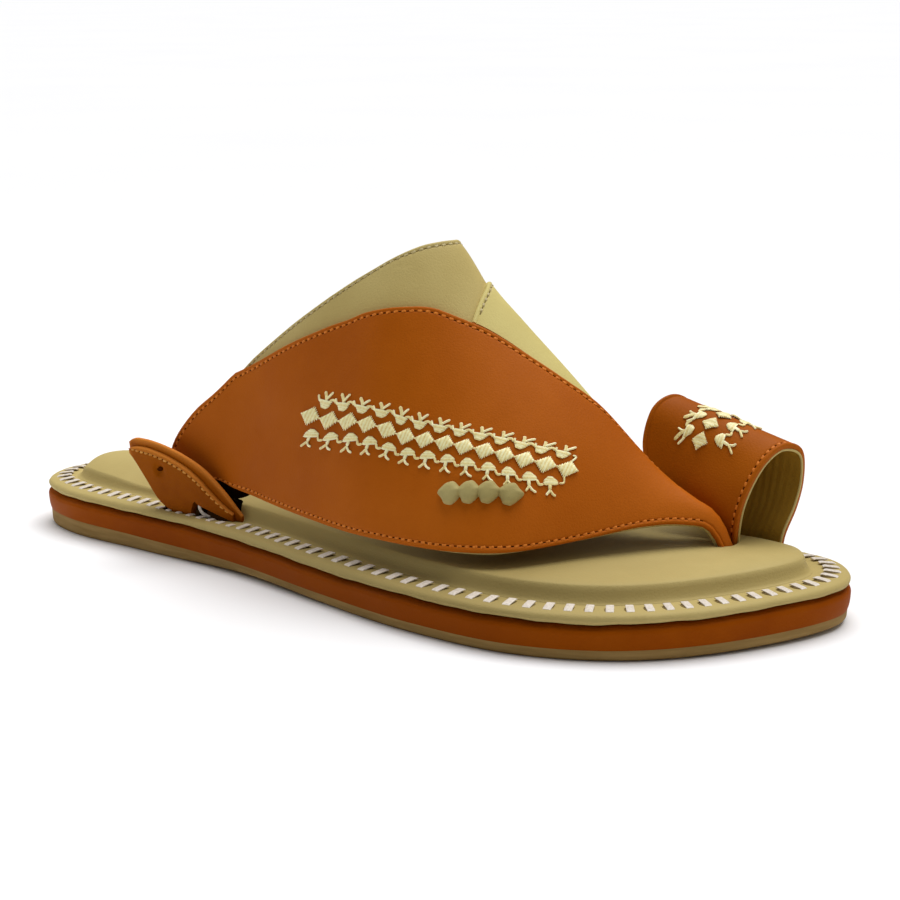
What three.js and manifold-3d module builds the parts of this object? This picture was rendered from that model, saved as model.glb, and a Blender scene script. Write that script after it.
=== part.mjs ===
// Arabic sandal, right foot: a layered flat sole with a padded footbed, an arched upper of leather
// straps, a leaf-shaped vamp over it, a loop for the big toe and a tab at the lateral side.
// Millimetres, +X to the toe, +Y to the medial side, +Z up. The origin is on the floor, below the
// middle of the sole.
import * as THREE from "three";
import { mergeVertices } from "three/addons/utils/BufferGeometryUtils.js";
import ManifoldModule from "manifold-3d";

const solids = await ManifoldModule();
solids.setup();
const { Manifold, Mesh: SolidMesh } = solids;

// Driving sizes
const LENGTH = 290;
const BALL_WIDTH = 109;
const GAP = 0.3;

// Sole layers, from the floor up
const OUTSOLE_FORE = 3;
const OUTSOLE_HEEL = 5.2;
const HEEL_RUN = 172;
const MIDSOLE = 6.9;
const RIM = 3.4;
const PAD = 5;
const PAD_HEEL = 7.6;
const PAD_HEEL_FRONT = -78;
const PAD_HEEL_RUN = 36;
const PAD_FALL = { depth: 2.4, front: -120, run: 13 };
const PAD_TOE_MARGIN = { width: 2.6, rear: 96, run: 38 };
const TOE_SPRING = 1.2;
const TOE_SPRING_START = 85;
const ARCH_RELIEF = 0.9;
const ARCH_MIDDLE = -28;
const ARCH_HALF_LENGTH = 52;

// Half-widths of the sole as shares of the ball width, at shares of the length from the heel end
const SOLE_PLAN = [
  { along: 0.024, lateral: 0.083, medial: 0.239 },
  { along: 0.086, lateral: 0.174, medial: 0.33 },
  { along: 0.207, lateral: 0.22, medial: 0.367 },
  { along: 0.362, lateral: 0.275, medial: 0.367 },
  { along: 0.517, lateral: 0.39, medial: 0.413 },
  { along: 0.655, lateral: 0.482, medial: 0.477 },
  { along: 0.783, lateral: 0.5, medial: 0.5 },
  { along: 0.886, lateral: 0.39, medial: 0.468 },
  { along: 0.959, lateral: 0.156, medial: 0.394 },
];
const HEEL_END = { along: 0, medial: 0.083 };
const TOE_END = { along: 1, medial: 0.202 };
const STEPS_PER_ROW = 4;

// Edges of the sole's layers: how far in from the outline, at a share of the layer's height
const OUTSOLE_EDGE = [
  { inset: 1.9, height: 0 },
  { inset: 1.2, height: 0.2 },
  { inset: 0.9, height: 1 },
];
const MIDSOLE_EDGE = [
  { inset: 0.8, height: 0 },
  { inset: 0.2, height: 0.36 },
  { inset: 0, height: 0.7 },
  { inset: 0.4, height: 0.9 },
  { inset: 1.2, height: 1 },
];
const RIM_EDGE = [
  { inset: 1.4, height: 0 },
  { inset: 0.5, height: 0.23 },
  { inset: 0.2, height: 0.52 },
  { inset: 0.8, height: 0.74 },
  { inset: 2.2, height: 1 },
];
const PAD_EDGE = [
  { inset: 9.8, height: 0 },
  { inset: 10.6, height: 0.1 },
  { inset: 12, height: 0.5 },
  { inset: 12.9, height: 0.84 },
  { inset: 14, height: 0.96 },
  { inset: 15.4, height: 1 },
];

// The form under the upper, a section at each place along the foot: the ridge's place across and
// its height, and how far the lateral and the medial foot of the section stand out
const LAST = [
  { along: -82, axis: 6, ridge: 117, lateral: -12.5, medial: 27 },
  { along: -60, axis: 6, ridge: 117, lateral: -13.5, medial: 28 },
  { along: -40, axis: 6.5, ridge: 117, lateral: -17, medial: 30 },
  { along: -20, axis: 7, ridge: 115, lateral: -25, medial: 33 },
  { along: 0, axis: 7.5, ridge: 110, lateral: -32, medial: 36 },
  { along: 12, axis: 8, ridge: 108.7, lateral: -35.7, medial: 37 },
  { along: 20, axis: 8.2, ridge: 102, lateral: -37.6, medial: 37 },
  { along: 28, axis: 8.4, ridge: 91.3, lateral: -38.8, medial: 37 },
  { along: 40, axis: 9, ridge: 80, lateral: -40, medial: 36 },
  { along: 55, axis: 10, ridge: 66.5, lateral: -40, medial: 34 },
  { along: 66, axis: 11.5, ridge: 55.8, lateral: -36.5, medial: 30 },
  { along: 80, axis: 14, ridge: 41.6, lateral: -15.5, medial: 25 },
  { along: 89, axis: 16.5, ridge: 33.8, lateral: -3, medial: 24 },
  { along: 96, axis: 18.5, ridge: 29, lateral: 9.5, medial: 24 },
  { along: 101, axis: 21, ridge: 25, lateral: 16.5, medial: 24 },
  { along: 104, axis: 22, ridge: 18.5, lateral: 19, medial: 24.2 },
  { along: 105.5, axis: 22, ridge: 12.5, lateral: 19, medial: 24.2 },
];
const LAST_FOOT = 11.3;
const LAST_FULLNESS = 1.55;

// Heights of the upper's free lower edges
const LATERAL_EDGE = [
  { along: -82, height: 11.3 },
  { along: -67, height: 11.3 },
  { along: -64.5, height: 16.5 },
  { along: -61, height: 23.6 },
  { along: -56, height: 25.7 },
  { along: -45, height: 24.1 },
  { along: -20, height: 23.1 },
  { along: 20, height: 22 },
  { along: 50, height: 21.6 },
  { along: 66, height: 22.2 },
  { along: 80, height: 24 },
  { along: 89, height: 25.5 },
  { along: 96, height: 25 },
  { along: 101, height: 23 },
  { along: 104, height: 17 },
  { along: 105.5, height: 11.9 },
];
const MEDIAL_EDGE = [
  { along: -82, height: 11.3 },
  { along: -50, height: 11.3 },
  { along: -45, height: 18 },
  { along: -38, height: 23 },
  { along: -10, height: 25 },
  { along: 30, height: 28 },
  { along: 55, height: 35 },
  { along: 70, height: 36 },
  { along: 80, height: 34 },
  { along: 89, height: 29 },
  { along: 96, height: 25 },
  { along: 101, height: 23 },
  { along: 104, height: 17 },
  { along: 105.5, height: 11.9 },
];
const UPPER_TIP = 105.5;

// The collar: how far back the upper reaches, at degrees round its section from the lateral foot
const COLLAR = [
  { around: 0, along: -71 },
  { around: 17, along: -75.5 },
  { around: 25, along: -66 },
  { around: 29, along: -57.5 },
  { around: 36, along: -42 },
  { around: 42, along: -30.4 },
  { around: 48, along: -18.5 },
  { around: 54, along: -9.2 },
  { around: 60, along: -1.2 },
  { around: 67, along: 8.6 },
  { around: 75, along: 15 },
  { around: 84, along: 17.7 },
  { around: 92, along: 18.7 },
  { around: 105, along: 16 },
  { around: 120, along: 4 },
  { around: 132, along: -16 },
  { around: 144, along: -38 },
  { around: 154, along: -60 },
  { around: 163, along: -70 },
  { around: 180, along: -68 },
];

// The vamp's stitched top edge, in degrees round the section
const VAMP_TOP = [
  { along: -60, around: 30.5 },
  { along: -41, around: 35 },
  { along: -15, around: 43.5 },
  { along: -5, around: 47.4 },
  { along: 4, around: 50.3 },
  { along: 19, around: 57.4 },
  { along: 26, around: 63.6 },
  { along: 33, around: 69.2 },
  { along: 42, around: 74.4 },
  { along: 50, around: 78.7 },
  { along: 60, around: 86 },
  { along: 68, around: 94 },
  { along: 80, around: 104 },
  { along: 89, around: 116 },
  { along: 96, around: 150 },
  { along: 105.5, around: 180 },
];

const VAMP_TAIL = { front: -67.4, around: 33.2, share: 0.2, fan: 1.1 };

// The medial wing's stitched rear edge
const WING_REAR = [
  { around: 60, along: 36 },
  { around: 74, along: 32.5 },
  { around: 90, along: 29.5 },
  { around: 107, along: 25.5 },
  { around: 125, along: 17 },
  { around: 150, along: 2 },
  { around: 180, along: -12 },
];
const WING_TIP = 87;
const WING_MARGIN = 1;

// The toe loop, from its foot in the toe slit over the big toe to its medial foot: the front and the
// rear edge of the band
const TOE_LOOP = [
  { share: 0, frontX: 106.5, frontY: 28, frontZ: 11.3, rearX: 102.2, rearY: 28.2, rearZ: 11.3 },
  { share: 0.09, frontX: 107, frontY: 27.2, frontZ: 19, rearX: 101.2, rearY: 28, rearZ: 19 },
  { share: 0.19, frontX: 108.6, frontY: 26.6, frontZ: 28, rearX: 88, rearY: 27.6, rearZ: 29.5 },
  { share: 0.3, frontX: 110.6, frontY: 29.2, frontZ: 36.2, rearX: 75, rearY: 28.4, rearZ: 40.4 },
  { share: 0.41, frontX: 112.6, frontY: 34.4, frontZ: 42.6, rearX: 74, rearY: 32.4, rearZ: 53 },
  { share: 0.52, frontX: 114.8, frontY: 41, frontZ: 45.7, rearX: 76.6, rearY: 39.4, rearZ: 57.2 },
  { share: 0.63, frontX: 117, frontY: 47.4, frontZ: 43.3, rearX: 79, rearY: 47, rearZ: 53 },
  { share: 0.74, frontX: 117, frontY: 48.4, frontZ: 35, rearX: 80.5, rearY: 50, rearZ: 41 },
  { share: 0.84, frontX: 116.2, frontY: 45.8, frontZ: 27, rearX: 81.5, rearY: 48, rearZ: 29.5 },
  { share: 0.92, frontX: 115, frontY: 41.4, frontZ: 19.5, rearX: 82.5, rearY: 44.4, rearZ: 20.5 },
  { share: 1, frontX: 114.5, frontY: 39.6, frontZ: 11.3, rearX: 83, rearY: 42.4, rearZ: 11.3 },
];
const LOOP_WALL = 2.4;

// The side tab, a leaf that stands in the lateral slit: its lower and upper edge along the foot
const SIDE_TAB = [
  { along: -89, low: 32.6, high: 35, out: 18 },
  { along: -86.5, low: 31, high: 36.3, out: 18.6 },
  { along: -81, low: 24.4, high: 36.7, out: 19.3 },
  { along: -76, low: 18, high: 36.3, out: 19.8 },
  { along: -72, low: 15.4, high: 35.6, out: 20 },
  { along: -64, low: 11.7, high: 33.4, out: 20.3 },
  { along: -56, low: 11.7, high: 29.5, out: 20.2 },
  { along: -49, low: 11.7, high: 23.2, out: 19.8 },
  { along: -43, low: 11.7, high: 16, out: 19.4 },
];
const TAB_FOOT = 11.7;
const TAB_WALL = 2.4;
const TAB_LEAN = 0.14;
const TAB_BEND = 15.2;

// The woven lace on the vamp: a row of raised lozenges
const LACE_BEADS = 4;
const LACE = { from: 44.8, to: 65.2, around: 28.8, aroundEnd: 38.6, half: 3.2, waist: 0.5 };
const LACE_WALL = 0.7;
const LACE_RISE = 1.4;
const BEAD_ROUNDING = 0.8;

// Slits of the footbed: rounded slots from one end to the other
const SLITS = [
  { name: "lateral", fromX: -72, fromY: -17, toX: -44.5, toY: -17.2, half: 4.9 },
  { name: "medial", fromX: -69, fromY: 28.4, toX: -48.5, toY: 30, half: 2.6 },
  { name: "toe", fromX: 105.4, fromY: 21.8, toX: 104.3, toY: 26.2, half: 4.6 },
  { name: "loop", fromX: 84.5, fromY: 42.6, toX: 113.5, toY: 39.8, half: 2.6 },
];
const SLIT_FLOOR = 8;
const SLIT_TOP = 40;
const SLIT_ARC_STEPS = 6;

const STRAP_WALL = 1.5;
const WING_STEP = 1.3;
const VAMP_WALL = 1.6;
const VAMP_GAP = 0.7;
const VAMP_SEAT = STRAP_WALL + VAMP_GAP;

// Facets of each curved wall, along it and across it
const STRAP_GRID = { steps: 30, across: 24 };
const WING_GRID = { steps: 12, across: 8 };
const VAMP_GRID = { steps: 32, across: 12 };
const LOOP_GRID = { steps: 28, across: 6 };
const TAB_GRID = { steps: 16, across: 6 };
const LACE_GRID = { steps: 20, across: 4 };
const END_CROWDING = 0.6;
const MERGE = 1e-4;
const STEP_ALONG = 0.4;
const STEP_ROUND = 0.6;
const STEP_SHARE = 0.01;
const SETTLE_TURNS = 60;
const SETTLE_RATE = 0.4;

const TAN_RUBBER = { color: 0xa98a58, roughness: 0.8 };
const EDGE_LEATHER = { color: 0xa8551a, roughness: 0.5 };
const CREAM_LEATHER = { color: 0xcfbb80, roughness: 0.6 };
const BROWN_LEATHER = { color: 0x9a4d17, roughness: 0.5 };
const WOVEN_CORD = { color: 0x8f7f4a, roughness: 0.6 };

const smooth = (t) => THREE.MathUtils.smoothstep(t, 0, 1);

// Reads a table as smooth curves over its key column.
function smoothTable(rows, key) {
  const columns = Object.keys(rows[0]).filter((name) => name !== key);
  const places = rows.map((row) => row[key]);
  const values = rows.flatMap((row) => columns.map((name) => row[name]));
  const curve = new THREE.CubicInterpolant(places, values, columns.length);
  return (place) => {
    const found = curve.evaluate(place);
    return Object.fromEntries(columns.map((name, i) => [name, found[i]]));
  };
}

// The sole's plan outline: a closed ring from the heel end round the lateral side to the toe and back.
function planRing() {
  const side = (rows, sign, column) =>
    rows.map((row) => new THREE.Vector3(row.along, sign * row[column], 0));
  const end = ({ along, medial }) => new THREE.Vector3(along, medial, 0);
  const corners = [
    end(HEEL_END),
    ...side(SOLE_PLAN, -1, "lateral"),
    end(TOE_END),
    ...side([...SOLE_PLAN].reverse(), 1, "medial"),
  ];
  corners.forEach((p) => p.multiply(new THREE.Vector3(LENGTH, BALL_WIDTH, 1)));
  const curve = new THREE.CatmullRomCurve3(corners, true, "centripetal");
  const ring = curve.getPoints(corners.length * STEPS_PER_ROW).slice(0, -1);
  const box = new THREE.Box3().setFromPoints(ring);
  const middle = box.getCenter(new THREE.Vector3());
  const size = box.getSize(new THREE.Vector3());
  const fit = new THREE.Vector3(LENGTH / size.x, BALL_WIDTH / size.y, 1);
  return ring.map((p) => p.sub(middle).multiply(fit));
}

const SOLE_RING = planRing();

// The sole's outline moved inwards, with its height given along the foot.
function insetRing(inset, height, margin = () => 0) {
  const count = SOLE_RING.length;
  return SOLE_RING.map((p, i) => {
    const before = SOLE_RING[(i + count - 1) % count];
    const after = SOLE_RING[(i + 1) % count];
    const inward = new THREE.Vector3(before.y - after.y, after.x - before.x, 0).normalize();
    const moved = p.clone().addScaledVector(inward, inset + margin(p.x));
    return moved.setZ(height(moved.x));
  });
}

// Heights of the layers along the foot
const toeSpring = (x) =>
  TOE_SPRING * Math.max(0, (x - TOE_SPRING_START) / (LENGTH / 2 - TOE_SPRING_START)) ** 2;
const arch = (x) => ARCH_RELIEF * smooth(1 - Math.abs(x - ARCH_MIDDLE) / ARCH_HALF_LENGTH);
const heelShare = (x) => smooth(1 - (x + LENGTH / 2) / HEEL_RUN);
const tread = (x) => toeSpring(x) + arch(x);
const outsoleTop = (x) =>
  toeSpring(x) + THREE.MathUtils.lerp(OUTSOLE_FORE, OUTSOLE_HEEL, heelShare(x));
const midsoleTop = (x) => outsoleTop(x) + MIDSOLE;
const rimTop = (x) => midsoleTop(x) + RIM;
const padFall = (x) => PAD_FALL.depth * Math.max(0, (PAD_FALL.front - x) / PAD_FALL.run) ** 2;
const padTop = (x) =>
  rimTop(x) - padFall(x)
  + THREE.MathUtils.lerp(PAD, PAD_HEEL, smooth((PAD_HEEL_FRONT - x) / PAD_HEEL_RUN));
const padMargin = (x) =>
  PAD_TOE_MARGIN.width * smooth((x - PAD_TOE_MARGIN.rear) / PAD_TOE_MARGIN.run);

function geometryOf(points, faces) {
  const positions = points.flatMap((p) => [p.x, p.y, p.z]);
  return new THREE.BufferGeometry()
    .setAttribute("position", new THREE.Float32BufferAttribute(positions, 3))
    .setIndex(faces);
}

// A closed solid through rings of equal count, from the lowest to the highest.
function ringSolid(rings) {
  const count = rings[0].length;
  const faces = [];
  for (let level = 0; level + 1 < rings.length; level++) {
    const low = level * count;
    for (let i = 0; i < count; i++) {
      const next = (i + 1) % count;
      faces.push(low + i, low + next, low + count + next);
      faces.push(low + i, low + count + next, low + count + i);
    }
  }
  const top = (rings.length - 1) * count;
  for (let i = 0; i < count / 2; i++) {
    const [left, leftNext, right, rightNext] = [i, i + 1, (count - i) % count, count - i - 1];
    if (i > 0) {
      faces.push(left, right, rightNext);
      faces.push(top + left, top + rightNext, top + right);
    }
    if (leftNext !== rightNext) {
      faces.push(left, rightNext, leftNext);
      faces.push(top + leftNext, top + rightNext, top + left);
    }
  }
  return geometryOf(rings.flat(), faces);
}

// A closed wall between an outer and an inner surface, each read on a grid of shares from 0 to 1.
function wallSolid(outer, inner, { steps, across }) {
  const points = [];
  for (const surface of [outer, inner]) {
    for (let i = 0; i <= steps; i++) {
      for (let j = 0; j <= across; j++) points.push(surface(i / steps, j / across));
    }
  }
  const row = across + 1;
  const inside = row * (steps + 1);
  const faces = [];
  const quad = (a, b, c, d) => {
    const shorter = points[a].distanceTo(points[c]) < points[b].distanceTo(points[d]);
    faces.push(...(shorter ? [a, b, c, a, c, d] : [b, c, d, b, d, a]));
  };
  for (let i = 0; i < steps; i++) {
    for (let j = 0; j < across; j++) {
      const a = i * row + j;
      quad(a, a + row, a + row + 1, a + 1);
      quad(inside + a, inside + a + 1, inside + a + row + 1, inside + a + row);
    }
    const [low, high] = [i * row, i * row + across];
    quad(low, inside + low, inside + low + row, low + row);
    quad(high, high + row, inside + high + row, inside + high);
  }
  for (let j = 0; j < across; j++) {
    const end = steps * row + j;
    quad(j, j + 1, inside + j + 1, inside + j);
    quad(end, inside + end, inside + end + 1, end + 1);
  }
  return geometryOf(points, faces);
}

function solidOf(geometry) {
  const plain = new THREE.BufferGeometry().setAttribute("position", geometry.attributes.position);
  plain.setIndex(geometry.index);
  const merged = mergeVertices(plain, MERGE);
  return new Manifold(new SolidMesh({
    numProp: 3,
    vertProperties: merged.attributes.position.array,
    triVerts: new Uint32Array(merged.index.array),
  }));
}

function geometryFrom(solid) {
  const mesh = solid.getMesh();
  return new THREE.BufferGeometry()
    .setAttribute("position", new THREE.BufferAttribute(mesh.vertProperties, mesh.numProp))
    .setIndex(new THREE.BufferAttribute(mesh.triVerts, 1));
}

const cut = (geometry, ...cutters) =>
  geometryFrom(cutters.reduce((solid, cutter) => solid.subtract(solidOf(cutter)), solidOf(geometry)));
const join = (...geometries) =>
  geometryFrom(geometries.map(solidOf).reduce((whole, solid) => whole.add(solid)));

// The form under the upper, at a place along the foot and degrees round from the lateral foot.
const lastAt = smoothTable(LAST, "along");
function lastPoint(x, around) {
  const { axis, ridge, lateral, medial } = lastAt(x);
  const angle = THREE.MathUtils.degToRad(around);
  const power = 2 / LAST_FULLNESS;
  const reach = Math.abs(Math.cos(angle)) ** power * (around < 90 ? lateral - axis : medial - axis);
  const sine = Math.sin(angle);
  const rise = Math.sign(sine) * Math.abs(sine) ** power * (ridge - LAST_FOOT);
  return new THREE.Vector3(x, axis + reach, LAST_FOOT + rise);
}
function lastNormal(x, around) {
  const turn = THREE.MathUtils.clamp(around, 1, 179);
  const along = lastPoint(x + STEP_ALONG, turn).sub(lastPoint(x - STEP_ALONG, turn));
  const round = lastPoint(x, turn + STEP_ROUND).sub(lastPoint(x, turn - STEP_ROUND));
  return along.cross(round).normalize();
}
const offLast = (x, around, away) =>
  lastPoint(x, around).addScaledVector(lastNormal(x, around), away);

// Degrees round the section at which the form has a height
function aroundAt(x, height) {
  const share = (height - LAST_FOOT) / (lastAt(x).ridge - LAST_FOOT);
  const sine = THREE.MathUtils.clamp(share, 0, 1) ** (LAST_FULLNESS / 2);
  return THREE.MathUtils.radToDeg(Math.asin(sine));
}
const lateralEdge = smoothTable(LATERAL_EDGE, "along");
const medialEdge = smoothTable(MEDIAL_EDGE, "along");
const collar = smoothTable(COLLAR, "around");
const vampTop = smoothTable(VAMP_TOP, "along");
const wingRear = smoothTable(WING_REAR, "around");
const lowAround = (x) => aroundAt(x, lateralEdge(x).height);
const highAround = (x) => 180 - aroundAt(x, medialEdge(x).height);

// A patch of the form from a rear edge to its tip, between a low and a high edge. It gives the place
// along the foot and the degrees round for two shares.
function patch({ rear, tip, low, high }) {
  const place = (share, around) => THREE.MathUtils.lerp(rear(around), tip, share);
  const settle = (share, edge) => {
    let around = edge(place(share, 90));
    for (let turn = 0; turn < SETTLE_TURNS; turn++) {
      around = THREE.MathUtils.lerp(around, edge(place(share, around)), SETTLE_RATE);
    }
    return around;
  };
  return (share, side) => {
    const around = THREE.MathUtils.lerp(settle(share, low), settle(share, high), side);
    return { x: place(share, around), around };
  };
}
const endsFirst = (t) =>
  THREE.MathUtils.lerp(t, 0.5 - 0.5 * Math.cos(Math.PI * t), END_CROWDING);
const formWall = (at, from, to, grid) => {
  const layer = (away) => (share, side) => {
    const { x, around } = at(endsFirst(share), side);
    return offLast(x, around, away);
  };
  return wallSolid(layer(to), layer(from), grid);
};

const strapPlace = patch({
  rear: (around) => collar(around).along,
  tip: UPPER_TIP,
  low: lowAround,
  high: highAround,
});
const wingPlace = patch({
  rear: (around) => wingRear(around).along,
  tip: WING_TIP,
  low: (x) => vampTop(x).around + WING_MARGIN,
  high: highAround,
});

// The vamp's leaf: from its tail in the lateral slit, up the collar and along its top edge to the tip.
const tailX = collar(VAMP_TAIL.around).along;
function vampPlace(share, side) {
  const lowX = THREE.MathUtils.lerp(VAMP_TAIL.front, UPPER_TIP, share ** VAMP_TAIL.fan);
  const onTop = (share - VAMP_TAIL.share) / (1 - VAMP_TAIL.share);
  const rise = VAMP_TAIL.around * (share / VAMP_TAIL.share);
  const topX = onTop < 0 ? collar(rise).along : THREE.MathUtils.lerp(tailX, UPPER_TIP, onTop);
  const top = onTop < 0 ? rise : Math.min(vampTop(topX).around, highAround(topX));
  return {
    x: THREE.MathUtils.lerp(lowX, topX, side),
    around: THREE.MathUtils.lerp(lowAround(lowX), top, side),
  };
}

// A wall of even thickness about a middle surface read on shares from 0 to 1.
function evenWall(middle, wall, grid) {
  const step = STEP_SHARE;
  const clamp = (t) => THREE.MathUtils.clamp(t, step, 1 - step);
  const layer = (away) => (share, side) => {
    const [s, t] = [clamp(share), clamp(side)];
    const along = middle(s + step, t).sub(middle(s - step, t));
    const over = middle(s, t + step).sub(middle(s, t - step));
    return middle(share, side).addScaledVector(along.cross(over).normalize(), away);
  };
  return wallSolid(layer(wall / 2), layer(-wall / 2), grid);
}

const loopAt = smoothTable(TOE_LOOP, "share");
function loopMiddle(share, side) {
  const edge = loopAt(share);
  const front = new THREE.Vector3(edge.frontX, edge.frontY, edge.frontZ);
  return front.lerp(new THREE.Vector3(edge.rearX, edge.rearY, edge.rearZ), side);
}

const tabAt = smoothTable(SIDE_TAB, "along");
function tabMiddle(share, side) {
  const x = THREE.MathUtils.lerp(SIDE_TAB[0].along, SIDE_TAB.at(-1).along, share);
  const { low, high, out } = tabAt(x);
  const z = THREE.MathUtils.lerp(Math.max(low, TAB_FOOT), high, side);
  return new THREE.Vector3(x, -out - TAB_LEAN * (z - TAB_BEND), z);
}

// The lace's beads stand on the vamp, pinched between one another.
function lacePlace(share, side) {
  const bead = Math.abs(Math.sin(share * LACE_BEADS * Math.PI)) ** BEAD_ROUNDING;
  const half = LACE.half * THREE.MathUtils.lerp(LACE.waist, 1, bead);
  const x = THREE.MathUtils.lerp(LACE.from, LACE.to, share);
  const around = THREE.MathUtils.lerp(LACE.around, LACE.aroundEnd, share) + half * (2 * side - 1);
  return { x, around, dome: bead * Math.sin(side * Math.PI) };
}
const laceLayer = (away, rise) => (share, side) => {
  const { x, around, dome } = lacePlace(share, side);
  return offLast(x, around, away + rise * dome);
};
const LACE_SEAT = VAMP_SEAT + VAMP_WALL + GAP;

// A rounded slot through the footbed
function slitCutter({ fromX, fromY, toX, toY, half }) {
  const turn = Math.atan2(toY - fromY, toX - fromX);
  const shape = new THREE.Shape();
  shape.absarc(toX, toY, half, turn - Math.PI / 2, turn + Math.PI / 2, false);
  shape.absarc(fromX, fromY, half, turn + Math.PI / 2, turn + 1.5 * Math.PI, false);
  shape.closePath();
  const depth = SLIT_TOP - SLIT_FLOOR;
  const options = { depth, bevelEnabled: false, curveSegments: SLIT_ARC_STEPS };
  return new THREE.ExtrudeGeometry(shape, options).translate(0, 0, SLIT_FLOOR);
}
const slits = SLITS.map(slitCutter);

// A layer of the sole between two heights, with its edge's profile
const layer = (edge, foot, top, margin) => ringSolid(edge.map(({ inset, height }) =>
  insetRing(inset, (x) => THREE.MathUtils.lerp(foot(x), top(x), height), margin)));
const over = (height) => (x) => height(x) + GAP;

const sandal = new THREE.Group();
function add(name, geometry, finish) {
  const mesh = new THREE.Mesh(geometry, new THREE.MeshStandardMaterial(finish));
  mesh.name = name;
  sandal.add(mesh);
}

add("outsole", layer(OUTSOLE_EDGE, tread, outsoleTop), TAN_RUBBER);
add("midsole", layer(MIDSOLE_EDGE, over(outsoleTop), midsoleTop), EDGE_LEATHER);
add("footbed_rim", cut(layer(RIM_EDGE, over(midsoleTop), rimTop), ...slits), CREAM_LEATHER);
add("insole_pad", cut(layer(PAD_EDGE, over(rimTop), padTop, padMargin), ...slits), CREAM_LEATHER);

const strap = formWall(strapPlace, 0, STRAP_WALL, STRAP_GRID);
const wing = formWall(wingPlace, STRAP_WALL / 2, STRAP_WALL + WING_STEP, WING_GRID);
add("upper", join(strap, wing), CREAM_LEATHER);
add("vamp", formWall(vampPlace, VAMP_SEAT, VAMP_SEAT + VAMP_WALL, VAMP_GRID), BROWN_LEATHER);
add("toe_loop", evenWall(loopMiddle, LOOP_WALL, LOOP_GRID), BROWN_LEATHER);
add("side_tab", evenWall(tabMiddle, TAB_WALL, TAB_GRID), BROWN_LEATHER);

const laceTop = laceLayer(LACE_SEAT + LACE_WALL, LACE_RISE);
add("woven_lace", wallSolid(laceTop, laceLayer(LACE_SEAT, 0), LACE_GRID), WOVEN_CORD);

export default sandal;
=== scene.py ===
# Arabic sandal, right foot: the leather, padding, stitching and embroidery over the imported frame.
# Sizes are in millimetres until a mesh is made. +X to the toe, +Y to the medial side, +Z up.
import math
import bpy
import numpy as np
from mathutils import Matrix, Vector


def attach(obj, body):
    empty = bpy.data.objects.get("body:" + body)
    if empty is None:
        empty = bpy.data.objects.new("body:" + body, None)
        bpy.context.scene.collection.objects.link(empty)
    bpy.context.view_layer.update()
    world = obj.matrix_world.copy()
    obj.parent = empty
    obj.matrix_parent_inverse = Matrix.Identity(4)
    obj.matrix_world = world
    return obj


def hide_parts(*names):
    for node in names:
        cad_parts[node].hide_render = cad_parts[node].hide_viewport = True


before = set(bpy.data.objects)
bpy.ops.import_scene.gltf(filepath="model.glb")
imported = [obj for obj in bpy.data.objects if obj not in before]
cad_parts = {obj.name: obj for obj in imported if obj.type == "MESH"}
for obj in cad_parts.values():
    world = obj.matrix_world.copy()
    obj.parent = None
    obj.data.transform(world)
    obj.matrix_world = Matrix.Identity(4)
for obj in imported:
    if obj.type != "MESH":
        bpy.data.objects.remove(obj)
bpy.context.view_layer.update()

scene = bpy.context.scene
MM = 0.001

# Sole
LENGTH, BALL_WIDTH = 290, 109
OUTSOLE_FORE, OUTSOLE_HEEL, HEEL_RUN = 3, 5.2, 172
MIDSOLE, RIM, PAD = 6.9, 3.4, 5
PAD_HEEL, PAD_HEEL_FRONT, PAD_HEEL_RUN = 7.6, -78, 36
PAD_FALL, PAD_FALL_FRONT, PAD_FALL_RUN = 2.4, -120, 13
PAD_TOE_MARGIN, PAD_TOE_REAR, PAD_TOE_RUN = 2.6, 96, 38
TOE_SPRING, TOE_SPRING_START = 1.2, 85
ARCH_RELIEF, ARCH_MIDDLE, ARCH_HALF_LENGTH = 0.9, -28, 52
PLAN_ALONG = [0.024, 0.086, 0.207, 0.362, 0.517, 0.655, 0.783, 0.886, 0.959]
PLAN_LATERAL = [0.083, 0.174, 0.22, 0.275, 0.39, 0.482, 0.5, 0.39, 0.156]
PLAN_MEDIAL = [0.239, 0.33, 0.367, 0.367, 0.413, 0.477, 0.5, 0.468, 0.394]
HEEL_END, TOE_END = (0, 0.083), (1, 0.202)

# Form under the upper
LAST_FOOT, LAST_FULLNESS = 11.3, 1.55
LAST_ALONG = [-82, -60, -40, -20, 0, 12, 20, 28, 40, 55, 66, 80, 89, 96, 101, 104, 105.5]
LAST_AXIS = [6, 6, 6.5, 7, 7.5, 8, 8.2, 8.4, 9, 10, 11.5, 14, 16.5, 18.5, 21, 22, 22]
LAST_RIDGE = [117, 117, 117, 115, 110, 108.7, 102, 91.3, 80, 66.5, 55.8, 41.6, 33.8, 29, 25, 18.5,
              12.5]
LAST_LATERAL = [-12.5, -13.5, -17, -25, -32, -35.7, -37.6, -38.8, -40, -40, -36.5, -15.5, -3, 9.5,
                16.5, 19, 19]
LAST_MEDIAL = [27, 28, 30, 33, 36, 37, 37, 37, 36, 34, 30, 25, 24, 24, 24, 24.2, 24.2]
UPPER_TIP, WING_TIP, WING_CLEAR = 105.5, 87, 1
STRAP_WALL, WING_STEP, VAMP_WALL, VAMP_GAP = 1.5, 1.3, 1.6, 0.7
VAMP_SEAT = STRAP_WALL + VAMP_GAP
VAMP_FACE = VAMP_SEAT + VAMP_WALL
TAIL_FRONT, TAIL_AROUND, TAIL_SHARE, TAIL_FAN = -67.4, 33.2, 0.2, 1.1


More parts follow.
